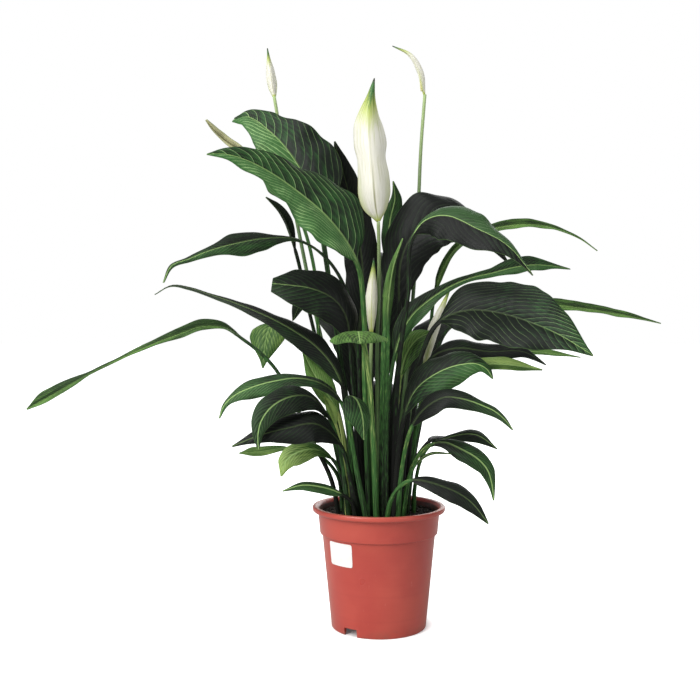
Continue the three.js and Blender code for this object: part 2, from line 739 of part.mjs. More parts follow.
// A finger that stands along the foot of the spathe, clear of it.
function makeSpadix(name, spatheCurve, heading, roll, size) {
  const radius = SPADIX_R * size;
  const { origin, along, up } = frameAt(spatheCurve, SPADIX_FROM, heading, roll);
  const foot = origin.addScaledVector(up, radius + SPADIX_LIFT);
  const tip = foot.clone().addScaledVector(along, SPADIX_LENGTH * size);
  const stations = roundStations(SPADIX_STEPS, (t) => (
    radius * Math.sqrt(Math.sin(Math.PI * lerp(...SPADIX_ENDS, t)))));
  const finger = sweep(new THREE.LineCurve3(foot, tip), heading, stations, LEAF_COLUMNS);
  return named(`${name}_spadix`, finger, FINISH.spadix);
}

function makeFlower({ name, root, stalk, spathe, heading, closed, spadix = 1, ...shape }) {
  const turn = radians(heading);
  const stalkCurve = stemThrough(root, stalk);
  const stalkStations = roundStations(STALK_STEPS, (t) => STALK_R * lerp(...STALK_TAPER, t));
  const foot = stalkCurve.getPointAt(1).addScaledVector(stalkCurve.getTangentAt(1), GAP);
  const spatheCurve = curveThrough([foot.toArray(), ...spathe]);
  const spatheShape = closed ? closedSpathe : openSpathe;
  const meshes = [
    named(`${name}_stalk`, sweep(stalkCurve, turn, stalkStations, LEAF_COLUMNS), FINISH.stalk),
    named(`${name}_spathe`, spatheShape(spatheCurve, turn, shape), FINISH.spathe),
  ];
  if (!closed) {
    meshes.push(makeSpadix(name, spatheCurve, turn, shape.roll[0], spadix));
  }
  return { meshes, socket: socketFor(stalkCurve, turn, stalkStations) };
}

// ---------------------------------------------------------------- pot, label and mix

function potOuterR(z) {
  return lerp(POT_FOOT_R, POT_BODY_TOP_R, z / POT_STEP_Z);
}

const LIP_Z = POT_HEIGHT - LIP_HEIGHT;
const FLOOR_TOP_Z = FLOOR_UNDERSIDE_Z + FLOOR_THICK;

// Half of the pot's section, from the foot up its outside and down its inside.
function potProfile() {
  const footInnerR = POT_FOOT_R - FOOT_RING_WIDTH;
  return [
    [0, 0],
    [PAD_R, 0],
    [PAD_R + HOLLOW_DRAFT, FLOOR_UNDERSIDE_Z],
    [footInnerR - HOLLOW_DRAFT, FLOOR_UNDERSIDE_Z],
    [footInnerR - POT_CHAMFER, 0],
    [POT_FOOT_R - POT_CHAMFER, 0],
    [potOuterR(POT_CHAMFER), POT_CHAMFER],
    [POT_BODY_TOP_R, POT_STEP_Z],
    [POT_COLLAR_LOW_R - POT_CHAMFER / 2, POT_STEP_Z],
    [POT_COLLAR_LOW_R, POT_STEP_Z + POT_CHAMFER],
    [POT_COLLAR_TOP_R, LIP_Z + POT_CHAMFER],
    [POT_RIM_R - 2 * POT_CHAMFER, LIP_Z],
    [POT_RIM_R, LIP_Z + 2 * POT_CHAMFER],
    [POT_RIM_R, POT_HEIGHT - 4 * POT_CHAMFER],
    [POT_RIM_R - POT_CHAMFER, POT_HEIGHT - POT_CHAMFER],
    [POT_RIM_R - 4 * POT_CHAMFER, POT_HEIGHT],
    [POT_COLLAR_TOP_R + POT_CHAMFER, POT_HEIGHT - POT_CHAMFER],
    [POT_COLLAR_TOP_R - POT_WALL, LIP_Z + POT_WALL],
    [POT_COLLAR_LOW_R - POT_WALL, POT_STEP_Z + POT_WALL],
    [POT_BODY_TOP_R - POT_WALL, POT_STEP_Z - POT_WALL / 2],
    [potOuterR(FLOOR_TOP_Z) - POT_WALL, FLOOR_TOP_Z],
    [0, FLOOR_TOP_Z],
  ];
}

function makePot() {
  const cutters = [];
  for (const angle of NOTCH_ANGLES) {
    const notch = new THREE.BoxGeometry(NOTCH_REACH, NOTCH_WIDTH, 2 * NOTCH_HEIGHT);
    cutters.push(notch.translate(POT_FOOT_R, 0, 0).rotateZ(radians(angle)));
  }
  for (let i = 0; i < DRAIN_HOLES; i += 1) {
    const hole = new THREE.CylinderGeometry(DRAIN_HOLE_R, DRAIN_HOLE_R, 3 * FLOOR_THICK, DRAIN_HOLE_SIDES);
    hole.rotateX(Math.PI / 2).translate(DRAIN_RING_R, 0, FLOOR_UNDERSIDE_Z + FLOOR_THICK / 2);
    cutters.push(hole.rotateZ((2 * Math.PI * (i + 0.5)) / DRAIN_HOLES));
  }
  const shell = solidOf(turned(potProfile()));
  const cut = cutters.reduce((solid, cutter) => solid.subtract(solidOf(cutter)), shell);
  return named('pot', geometryOf(cut), FINISH.pot);
}

// A rounded sticker wrapped round the body: upright slices, shorter where its corners round off.
function makeLabel() {
  const halfWidth = LABEL_WIDTH / 2;
  const middleZ = LABEL_LOW_Z + LABEL_HEIGHT / 2;
  const slices = [-1, -0.97, -0.9, -0.8, -0.55, -0.3, 0, 0.3, 0.55, 0.8, 0.9, 0.97, 1];
  const endHalf = LABEL_HEIGHT / 2 - LABEL_CORNER_R; // half of the straight part of each end
  const outlines = slices.map((slice) => {
    const fromEnd = Math.min(halfWidth * (1 - Math.abs(slice)), LABEL_CORNER_R);
    const corner = Math.sqrt(LABEL_CORNER_R ** 2 - (LABEL_CORNER_R - fromEnd) ** 2);
    const halfHeight = endHalf + corner;
    const turn = radians(LABEL_ANGLE) + (slice * halfWidth) / potOuterR(middleZ);
    const place = (rise, lift) => {
      const z = middleZ + rise;
      const r = potOuterR(z) + GAP + lift;
      return new THREE.Vector3(r * Math.cos(turn), r * Math.sin(turn), z);
    };
    return [
      place(halfHeight, LABEL_THICK),
      place(-halfHeight, LABEL_THICK),
      place(-halfHeight, 0),
      place(halfHeight, 0),
    ];
  });
  return named('pot_label', loft(outlines), FINISH.label);
}

// The mix fills the pot a gap clear of its wall and floor, with a hole for each stem.
function makeSoil(sockets) {
  const floorZ = FLOOR_TOP_Z + GAP;
  const wall = POT_WALL + GAP;
  const upCollar = (SOIL_EDGE_Z - POT_STEP_Z) / (LIP_Z - POT_STEP_Z);
  const edgeR = lerp(POT_COLLAR_LOW_R, POT_COLLAR_TOP_R, upCollar) - wall - GAP;
  const block = solidOf(turned([
    [0, floorZ],
    [potOuterR(floorZ) - wall, floorZ],
    [POT_BODY_TOP_R - wall, POT_STEP_Z - wall / 2],
    [POT_COLLAR_LOW_R - wall, POT_STEP_Z + wall],
    [edgeR, SOIL_EDGE_Z],
    [(edgeR + SOIL_CROWN_R) / 2, lerp(SOIL_EDGE_Z, SOIL_CROWN_Z, 0.7)],
    [SOIL_CROWN_R, SOIL_CROWN_Z],
    [0, SOIL_CROWN_Z],
  ]));
  const dug = sockets.reduce((solid, socket) => solid.subtract(solidOf(socket)), block);
  return named('soil', geometryOf(dug), FINISH.soil);
}

// ---------------------------------------------------------------- the plant

const plant = new THREE.Group();
const grown = [...LEAVES.map((leaf) => {
  const { mesh, socket } = makeLeaf(leaf);
  return { meshes: [mesh], socket };
}), ...FLOWERS.map(makeFlower)];

plant.add(makePot(), makeLabel(), makeSoil(grown.map(({ socket }) => socket)));
for (const { meshes } of grown) {
  plant.add(...meshes);
}

export default plant;
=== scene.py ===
"""Potted peace lily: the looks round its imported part, in metres and in the part's own frame.

Every leaf, stalk and flower is lofted again, finely, through the rings of points of its CAD node. The pot,
its label and the potting mix are made afresh to the sizes of theirs.
"""

import json
import math
import zlib

import bmesh
import bpy
import numpy as np
from mathutils import Matrix, Vector, noise


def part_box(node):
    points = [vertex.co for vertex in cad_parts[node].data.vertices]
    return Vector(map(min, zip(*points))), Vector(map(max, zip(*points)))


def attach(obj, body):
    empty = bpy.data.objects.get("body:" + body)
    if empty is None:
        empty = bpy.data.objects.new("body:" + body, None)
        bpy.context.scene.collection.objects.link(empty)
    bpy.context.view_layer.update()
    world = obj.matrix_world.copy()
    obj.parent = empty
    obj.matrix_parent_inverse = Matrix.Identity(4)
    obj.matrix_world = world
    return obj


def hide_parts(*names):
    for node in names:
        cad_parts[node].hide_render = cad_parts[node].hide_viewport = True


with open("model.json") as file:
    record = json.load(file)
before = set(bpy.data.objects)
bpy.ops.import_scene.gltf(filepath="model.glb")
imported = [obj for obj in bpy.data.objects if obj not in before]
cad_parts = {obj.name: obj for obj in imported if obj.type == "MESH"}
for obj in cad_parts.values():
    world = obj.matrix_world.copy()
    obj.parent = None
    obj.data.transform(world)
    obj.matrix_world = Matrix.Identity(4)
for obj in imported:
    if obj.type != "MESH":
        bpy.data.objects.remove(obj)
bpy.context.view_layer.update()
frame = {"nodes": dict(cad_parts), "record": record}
NODES = frame["nodes"]
SLOT_OF = {row["node"]: row["material_slot"] for row in frame["record"]["subparts"]}

MM = 0.001

# ---------------------------------------------------------------- camera and light

CAMERA_PLACE = (-0.037, -1.2, 0.375)
CAMERA_DROP = math.radians(1.0)  # how far below level it looks
CAMERA_LENS = 48.1

# The disk lights: the place, size and power of each. All are turned to one point on the plant.
LIGHTS = {
    "key": ((-1.5, -1.5, 1.2), 1.2, 38.0),
    "fill": ((1.6, -1.3, 0.9), 1.6, 9.0),
    "back": ((0.6, 1.9, 1.1), 1.8, 16.0),
}
LIT_POINT = (0.0, 0.0, 0.35)
SUN_TOWARDS = (0.35, 0.35, -1.0)
SUN_STRENGTH, SUN_SPREAD = 2.2, math.radians(60.0)
AMBIENT = (0.26, 0.27, 0.28)  # the light from all round
WHITE = (1.0, 1.0, 1.0, 1.0)


def in_scene(name, data):
    """An object of the scene that shows this mesh, light or camera."""
    made = bpy.data.objects.new(name, data)
    bpy.context.scene.collection.objects.link(made)
    return made


def make_camera():
    data = bpy.data.cameras.new("camera")
    data.lens = CAMERA_LENS
    data.clip_start, data.clip_end = 0.01, 100.0
    camera = in_scene("camera", data)
    camera.location = CAMERA_PLACE
    camera.rotation_euler = (math.pi / 2 - CAMERA_DROP, 0.0, 0.0)
    bpy.context.scene.camera = camera


def turn_light(light, way):
    light.rotation_euler = Vector(way).to_track_quat("-Z", "Y").to_euler()


def make_lights():
    sun = bpy.data.lights.new("high", "SUN")
    sun.energy, sun.angle = SUN_STRENGTH, SUN_SPREAD
    turn_light(in_scene("high", sun), SUN_TOWARDS)
    for name, (place, size, power) in LIGHTS.items():
        data = bpy.data.lights.new(name, "AREA")
        data.shape, data.size, data.energy = "DISK", size, power
        light = in_scene(name, data)
        light.location = place
        turn_light(light, Vector(LIT_POINT) - Vector(place))


def make_world():
    """White where the camera sees it, and a dimmer light from all round for the object."""
    world = bpy.data.worlds.new("studio")
    bpy.context.scene.world = world
    world.use_nodes = True
    nodes, links = world.node_tree.nodes, world.node_tree.links
    output = nodes["World Output"]
    shown, lit = nodes["Background"], nodes.new("ShaderNodeBackground")
    shown.inputs["Color"].default_value = WHITE
    lit.inputs["Color"].default_value = (*AMBIENT, 1.0)
    path, mix = nodes.new("ShaderNodeLightPath"), nodes.new("ShaderNodeMixShader")
    links.new(path.outputs["Is Camera Ray"], mix.inputs[0])
    links.new(lit.outputs[0], mix.inputs[1])
    links.new(shown.outputs[0], mix.inputs[2])
    links.new(mix.outputs[0], output.inputs["Surface"])


# ---------------------------------------------------------------- small helpers


def smoothstep(low, high, value):
    x = np.clip((value - low) / (high - low), 0.0, 1.0)
    return x * x * (3.0 - 2.0 * x)


def mixed(a, b, share):
    return a + (b - a) * share


def unit(vectors):
    lengths = np.linalg.norm(vectors, axis=-1, keepdims=True)
    return vectors / np.maximum(lengths, 1e-12)


def random_for(name):
    """A random source of a piece's own, the same in every run."""
    return np.random.default_rng(zlib.crc32(name.encode()))


def colour(red, green, blue):
    """An RGBA colour for a node, from the 0 to 255 values of a screen."""
    parts = (c / 255 for c in (red, green, blue))
    return (*(c / 12.92 if c <= 0.04045 else ((c + 0.055) / 1.055) ** 2.4 for c in parts), 1.0)


def make_object(name, vertices, faces, material):
    mesh = bpy.data.meshes.new(name)
    mesh.from_pydata(np.asarray(vertices).tolist(), [], faces)
    mesh.materials.append(material)
    mesh.shade_smooth()
    return in_scene(name, mesh)


def band_faces(rows, count):
    """Quads between rings of `count` points."""
    faces = []
    for row in range(rows - 1):
        for i in range(count):
            a, b = row * count + i, row * count + (i + 1) % count
            faces.append((a, b, b + count, a + count))
    return faces


def grid_faces(rows, count):
    """Quads between rings of `count` points, and a flat end on the first ring and the last."""
    faces = band_faces(rows, count)
    faces.append(tuple(range(count - 1, -1, -1)))
    faces.append(tuple((rows - 1) * count + i for i in range(count)))
    return faces


def mesh_of(built, name):
    """The mesh that a bmesh holds. The bmesh is done with."""
    mesh = bpy.data.meshes.new(name)
    built.to_mesh(mesh)
    built.free()
    return mesh


def outward(made):
    """Turns the faces of a closed mesh to the outside."""
    built = bmesh.new()
    built.from_mesh(made.data)
    bmesh.ops.recalc_face_normals(built, faces=built.faces)
    built.to_mesh(made.data)
    built.free()


def both_faces(top, back):
    """Rings round a sheet: each row along its top, and back along its underside."""
    return np.concatenate([top, back[:, ::-1]], axis=1)


def add_vectors(made, name, values):
    """Three numbers for each point, which the materials read by name."""
    attribute = made.data.attributes.new(name, "FLOAT_VECTOR", "POINT")
    attribute.data.foreach_set("vector", np.asarray(values, np.float32).ravel())


def add_places(made, across, share):
    """How far across a flower's piece each point is, and what share of the way along it."""
    across, share = np.broadcast_arrays(across, share)
    add_vectors(made, "flower_place", np.stack([across, share, np.zeros_like(share)], axis=2))


def dress(made, node):
    """The piece rides on the part and stands for its node, whose CAD mesh it hides."""
    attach(made, "root")
    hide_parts(node)


# ---------------------------------------------------------------- reading the frame

RING_POINTS = 6  # round each ring of a leaf, a stalk, a spadix or a closed spathe
SPATHE_POINTS = 10  # round each ring of an open spathe
WELD = 0.01 * MM
FACE_HINT = np.array([0.0, -0.5, 1.0])  # leaves show their upper faces to the front and to the sky


def welded(node):
    """The points of a CAD node, each one once, and the neighbours of each."""
    mesh = NODES[node].data
    raw = np.empty(len(mesh.vertices) * 3)
    mesh.vertices.foreach_get("co", raw)
    raw = raw.reshape(-1, 3)
    _, first, shared = np.unique(np.round(raw / WELD), axis=0, return_index=True, return_inverse=True)
    shared = shared.ravel()
    near = [set() for _ in first]
    for edge in mesh.edges:
        a, b = (int(shared[v]) for v in edge.vertices)
        if a != b:
            near[a].add(b)
            near[b].add(a)
    return raw[first], near


def in_cycle(layer, near, way=()):
    """The members of one ring in order round it: the way along edges that visits each and closes.

    There is only one, because the edges across an end ring don't cross each other.
    """
    way = way or (min(layer),)
    if len(way) == len(layer):
        return list(way) if way[0] in near[way[-1]] else None
    onward = sorted((near[way[-1]] & layer) - set(way))
    ways = (in_cycle(layer, near, (*way, point)) for point in onward)
    return next((found for found in ways if found), None)


def in_line(ring, last, points, near):
    """The ring's points, started and turned so that each is joined to its like in the last ring."""

    def fit(order):
        joined = sum(a in near[b] for a, b in zip(order, last))
        return joined, -np.linalg.norm(points[order] - points[last], axis=1).sum()

    return max((way[i:] + way[:i] for way in (ring, ring[::-1]) for i in range(len(ring))), key=fit)


def rings_of(node, count):
    """The rings of `count` points that the node was lofted through, from its root to its tip."""
    points, near = welded(node)
    layer = {int(i) for i in np.argsort(points[:, 2])[:count]}
    seen, rings = set(layer), []
    while layer:
        if len(layer) != count:
            raise ValueError(f"{node}: ring {len(rings)} has {len(layer)} points")
        ring = in_cycle(layer, near)
        rings.append(in_line(ring, rings[-1], points, near) if rings else ring)
        layer = {n for p in layer for n in near[p]} - seen
        seen |= layer
    return points[np.array(rings)]


def strip_of(node, count):
    """A node's rings as a strip: centre points from left to right, and thicknesses, ring by ring.

    Left and right are as someone sees them who looks at its face with its tip upwards.
    """
    rings = rings_of(node, count)
    columns = count // 2
    widths = np.ptp(rings, axis=1).max(axis=1)
    widest = int(np.argmax(widths))
    steps = np.linalg.norm(np.roll(rings[widest], -1, axis=0) - rings[widest], axis=1)
    thinnest = int(np.argmin(steps[:columns] + steps[columns:]))
    rings = np.roll(rings, -(thinnest + 1), axis=1)
    face, back = rings[:, :columns], rings[:, columns:][:, ::-1]
    middle = columns // 2
    normals = (face - back)[:, middle] * widths[:, None]
    if normals.sum(axis=0) @ FACE_HINT < 0:
        face, back, normals = back, face, -normals
    centres = (face + back) / 2
    ahead = np.gradient(centres[:, middle], axis=0)
    to_right = centres[widest, -1] - centres[widest, 0]
    if to_right @ np.cross(ahead[widest], normals[widest]) < 0:
        centres = centres[:, ::-1]
        face, back = face[:, ::-1], back[:, ::-1]
    return centres, np.linalg.norm(face - back, axis=2)


def through(values, knots, places, calm=False):
    """A smooth curve through `values` at `knots`, read at `places`. A calm one never swings past them."""
    shape = (-1,) + (1,) * (values.ndim - 1)
    steps = np.diff(knots).reshape(shape)
    slopes = np.diff(values, axis=0) / steps
    before, after = slopes[:-1], slopes[1:]
    if calm:
        product = np.maximum(before * after, 0.0)
        inner = 2 * product / np.where(product > 0.0, before + after, 1.0)
    else:
        inner = (before * steps[1:] + after * steps[:-1]) / (steps[:-1] + steps[1:])
    tangents = np.concatenate([slopes[:1], inner, slopes[-1:]])
    left = np.clip(np.searchsorted(knots, places, side="right") - 1, 0, len(steps) - 1)
    step = steps[left]
    x = (places - knots[left]).reshape(shape) / step
    return (
        values[left] * (2 * x**3 - 3 * x**2 + 1)
        + tangents[left] * step * (x**3 - 2 * x**2 + x)
        + values[left + 1] * (3 * x**2 - 2 * x**3)
        + tangents[left + 1] * step * (x**3 - x**2)
    )


def strip_through(centres, middle, knots, places):
    """The strip's rows at `places`: a smooth middle line, and sides that go calmly beside it."""
    line = through(centres[:, middle], knots, places)
    sides = through(centres - centres[:, middle : middle + 1], knots, places, calm=True)
    return line[:, None] + sides


def lengths_along(points):
    return np.concatenate([[0.0], np.cumsum(np.linalg.norm(np.diff(points, axis=0), axis=1))])


# ---------------------------------------------------------------- node graphs


class Graph:
    """A material's nodes. Each call adds a node and gives its output, for the next call to use."""

    def __init__(self, name):
        self.material = bpy.data.materials.new(name)
        self.material.use_nodes = True
        self.tree = self.material.node_tree
        self.shader = self.tree.nodes["Principled BSDF"]

    def put(self, socket, value):
        if isinstance(value, bpy.types.NodeSocket):
            self.tree.links.new(value, socket)
        else:
            socket.default_value = value

    def add(self, kind, inputs, output=0, **settings):
        node = self.tree.nodes.new(kind)
        for key, value in settings.items():
            setattr(node, key, value)
        for key, value in inputs.items():
            self.put(node.inputs[key], value)
        return node.outputs[output]

    def finish(self, **inputs):
        for key, value in inputs.items():
            self.put(self.shader.inputs[key.replace("_", " ")], value)
        return self.material

    def place(self):
        return self.add("ShaderNodeTexCoord", {}, "Object")

    def split(self, vector):
        node = self.tree.nodes.new("ShaderNodeSeparateXYZ")
        self.tree.links.new(vector, node.inputs[0])
        return node.outputs

    def three(self, name):
        """The three numbers of a point attribute."""
        return self.split(self.add("ShaderNodeAttribute", {}, "Vector", attribute_name=name))

    def from_axis(self, where):
        """How far a place is from the Z axis."""
        x, y, _ = self.split(where)
        return self.math("SQRT", self.plus(self.times(x, x), self.times(y, y)))

    def vector(self, x, y, z):
        return self.add("ShaderNodeCombineXYZ", {0: x, 1: y, 2: z})

    def math(self, operation, a, b=0.0):
        return self.add("ShaderNodeMath", {0: a, 1: b}, operation=operation)

    def times(self, a, b):
        return self.math("MULTIPLY", a, b)

    def plus(self, a, b):
        return self.math("ADD", a, b)

    def noise(self, where, scale, detail=3.0, rough=0.5):
        inputs = {"Vector": where, "Scale": scale, "Detail": detail, "Roughness": rough}
        return self.add("ShaderNodeTexNoise", inputs)

    def cells(self, where, scale):
        return self.add("ShaderNodeTexVoronoi", {"Vector": where, "Scale": scale})

    def fade(self, value, start, end, low=0.0, high=1.0):
        """From `low` to `high` as the value goes smoothly from `start` to `end`."""
        inputs = {0: value, 1: start, 2: end, 3: low, 4: high}
        return self.add("ShaderNodeMapRange", inputs, interpolation_type="SMOOTHSTEP")

    def mix(self, share, a, b):
        return self.add("ShaderNodeMix", {0: share, 6: a, 7: b}, 2, data_type="RGBA")

    def bump(self, height, distance, strength):
        inputs = {"Height": height, "Distance": distance, "Strength": strength}
        return self.add("ShaderNodeBump", inputs)


# ---------------------------------------------------------------- leaf materials

# Each slot's colours: the shaded green, the lit green, the veins, and how strongly the veins show.
LEAF_COLOURS = {
    "leaf_dark": (colour(20, 22, 20), colour(44, 74, 38), colour(116, 136, 100), 0.40),
    "leaf_mid": (colour(21, 26, 20), colour(50, 90, 44), colour(132, 164, 106), 0.55),
    "leaf_veined": (colour(20, 26, 20), colour(50, 94, 46), colour(170, 206, 138), 0.95),
    "leaf_light": (colour(34, 54, 28), colour(92, 132, 62), colour(172, 194, 122), 0.60),
    "leaf_pale": (colour(52, 84, 38), colour(146, 176, 92), colour(200, 212, 150), 0.55),
    "leaf_dry": (colour(104, 104, 76), colour(176, 174, 132), colour(208, 204, 164), 0.60),
}
RIB_COLOUR = colour(152, 184, 112)
# The margin colour is a painted highlight, where a leaf's edge catches light.
MARGIN_HIGHLIGHT_COLOUR = colour(84, 112, 62)
STEM_SHADED, STEM_GREEN, STEM_PALE = colour(27, 28, 25), colour(60, 102, 50), colour(178, 196, 116)
ROOT_DARK_FROM, ROOT_DARK_TO = 150 * MM, 330 * MM  # heights between which the stems come out of shade
ROOT_PAINTED_SHADE = -0.35
# How strongly light and dark streaks run along a leaf, and in the slots where it's more or less.
USUAL_STREAKS = 0.30
LEAF_STREAKS = {"leaf_pale": 0.25, "leaf_dry": 0.70, "leaf_light": 0.60, "leaf_dark": 0.15}


def stem_colour(g, where, phase, from_rib, lit):
    """Pale fibres on green, with painted shade towards the root."""
    fibres = g.noise(g.vector(g.times(from_rib, 2600.0), g.times(phase, 0.6), 0.0), 1.0, 2.0)
    _, _, height = g.split(where)
    tone = g.plus(lit, g.times(g.plus(fibres, -0.5), 1.5))
    # Painted shade on the stems, darker low in the clump.
    tone = g.plus(tone, g.fade(height, ROOT_DARK_FROM, ROOT_DARK_TO, ROOT_PAINTED_SHADE, 0.0))
    stem = g.mix(g.fade(tone, 0.0, 0.6), STEM_SHADED, STEM_GREEN)
    return g.mix(g.fade(tone, 0.55, 1.1), stem, STEM_PALE)


def leaf_material(slot):
    shaded, lit_green, vein_colour, vein_strength = LEAF_COLOURS[slot]
    streaked = LEAF_STREAKS.get(slot, USUAL_STREAKS)
    g = Graph(slot)
    where = g.place()
    phase, from_rib, from_margin = g.three("leaf_lines")
    blade, upper, lit = g.three("leaf_zone")
    blotches = g.noise(where, 42.0, 3.0)
    grain = g.noise(where, 1300.0, 2.0)

    # The phase goes up by one from each side vein to the next.
    unsteady = g.plus(phase, g.times(g.noise(where, 90.0, 2.0), 0.16))
    between = g.math("PINGPONG", unsteady, 0.5)
    # The veins widen and show more where the painted light is stronger, and so does the midrib further
    # down.
    vein_reach = g.fade(lit, 0.1, 0.9, 0.05, 0.15)
    main = g.fade(between, vein_reach, 0.015)
    minor = g.fade(g.math("PINGPONG", g.times(unsteady, 4.0), 0.5), 0.24, 0.02)
    strong = g.fade(g.noise(where, 34.0, 2.0), 0.36, 0.62, 0.4, 1.0)
    reach = g.times(g.fade(from_margin, 0.0, 4 * MM), strong)
    fine = g.times(minor, g.fade(lit, 0.1, 0.9, 0.0, 0.55))
    veins = g.times(g.math("MAXIMUM", main, fine), g.times(reach, blade))
    rib = g.times(g.fade(from_rib, 1.0 * MM, 0.5 * MM), blade)
    # A thin painted highlight along each margin.
    margin = g.times(g.fade(from_margin, 0.7 * MM, 0.2 * MM), blade)

    # Painted shade across each gap between side veins, as on quilted relief: lighter just past one vein,
    # darker towards the next.
    vein_gap_painted_shade = g.plus(0.5, g.times(g.math("FRACT", unsteady), -1.0))
    # The tone paints light and shade onto the leaf: the shaded green at 0, the lit green at 1, with random
    # blotches and streaks in it.
    tone = g.plus(lit, g.times(g.plus(blotches, -0.5), 0.9))
    tone = g.plus(tone, g.times(vein_gap_painted_shade, 0.42))
    lengthwise = g.vector(g.times(from_rib, 420.0), g.times(phase, 0.10), 0.0)
    tone = g.plus(tone, g.times(g.plus(g.noise(lengthwise, 1.0, 4.0, 0.6), -0.5), streaked * 4.0))
    base = g.mix(g.fade(tone, 0.0, 1.0), shaded, lit_green)
    seen = g.fade(lit, 0.0, 0.7, 0.22, 1.0)
    base = g.mix(g.times(g.times(veins, seen), vein_strength), base, vein_colour)
    under = g.mix(0.35, base, lit_green)
    base = g.mix(upper, under, base)
    base = g.mix(g.times(rib, g.fade(lit, 0.0, 0.6, 0.08, 0.95)), base, RIB_COLOUR)
    base = g.mix(g.times(margin, 0.55), base, MARGIN_HIGHLIGHT_COLOUR)
    stem = stem_colour(g, where, phase, from_rib, lit)
    base = g.mix(g.fade(blade, 0.15, 0.75), stem, base)

    relief = g.plus(g.times(between, blade), g.times(grain, 0.12))
    relief = g.plus(relief, g.times(minor, -0.08))
    relief = g.plus(relief, g.times(rib, 0.5))
    dull = g.plus(g.fade(upper, 0.0, 1.0, 0.60, 0.46), g.times(g.plus(grain, -0.5), 0.16))
    return g.finish(
        Base_Color=base,
        Roughness=g.plus(dull, g.times(veins, 0.08)),
        Normal=g.bump(relief, 0.4 * MM, 0.8),
        Specular_IOR_Level=0.14,
    )


# ---------------------------------------------------------------- leaves

STEM_RINGS = 5  # of the node's rings, before its blade
HALF_COLUMNS = 12  # from the midrib to a margin
BLADE_ROW, FEWEST_BLADE_ROWS = 1.8 * MM, 24
STEM_ROW, FEWEST_STEM_ROWS = 7 * MM, 6
SHEET_THICK = 0.5 * MM
MARGIN_THINNING = 0.5  # of that thickness, at a margin
ROUND_REACH = math.radians(80)  # how far round each side of a stem the upper face goes
GROOVE, GROOVE_SPREAD = 0.35, 0.3  # a stem's groove: its depth in radii, and its share of the face
# A stem's ring is a hexagon, 0.87 of its radius wide on each side. Half widths in radii, between which a
# stem turns into a blade, and the share of the blade's length from which it's all blade.
STEM_TO_BLADE = (0.87 * 1.1, 3.2)
SURELY_BLADE = 0.4
STEM_UNDER_BLADE = 0.8  # how thick the stem goes on under the blade, in radii where the blade starts
RIB_RADII = (0.85, 0.25)  # the midrib's radius, in the stem's, where the blade starts and at its tip
RIB_WIDTH, RIB_ABOVE, RIB_BELOW = 0.9, 0.12, 1.3  # the midrib's spread and how far it stands out, in radii
RIB_SPREAD = (2.1, 0.5)  # the pale midrib's half width in millimetres, where the blade starts and ends
ARCH, WAVE, BITE = 0.10, 0.085, 0.018  # how far a half arches, waves and is notched, in half widths
PUFF = 0.035  # how far the blade swells between two side veins, in the gap between them
VEIN_GAP, VEIN_GAP_GROWTH = 4.5 * MM, 0.24  # between side veins, and more by this share of the half width
VEIN_BEND = 0.9  # how much more the veins lean at the margin
# Waves along a leaf: the height of each, the length that takes it through a radian, and how many times
# the half's own random turn it starts at.
VEIN_DRIFT = ((0.28, 23 * MM, 1), (0.14, 8 * MM, 2))
MARGIN_WAVES = ((1.0, 17 * MM, 1), (0.6, 7.3 * MM, 3))
MARGIN_BITES = ((1.0, 9.7 * MM, 2), (0.7, 4.1 * MM, 5))

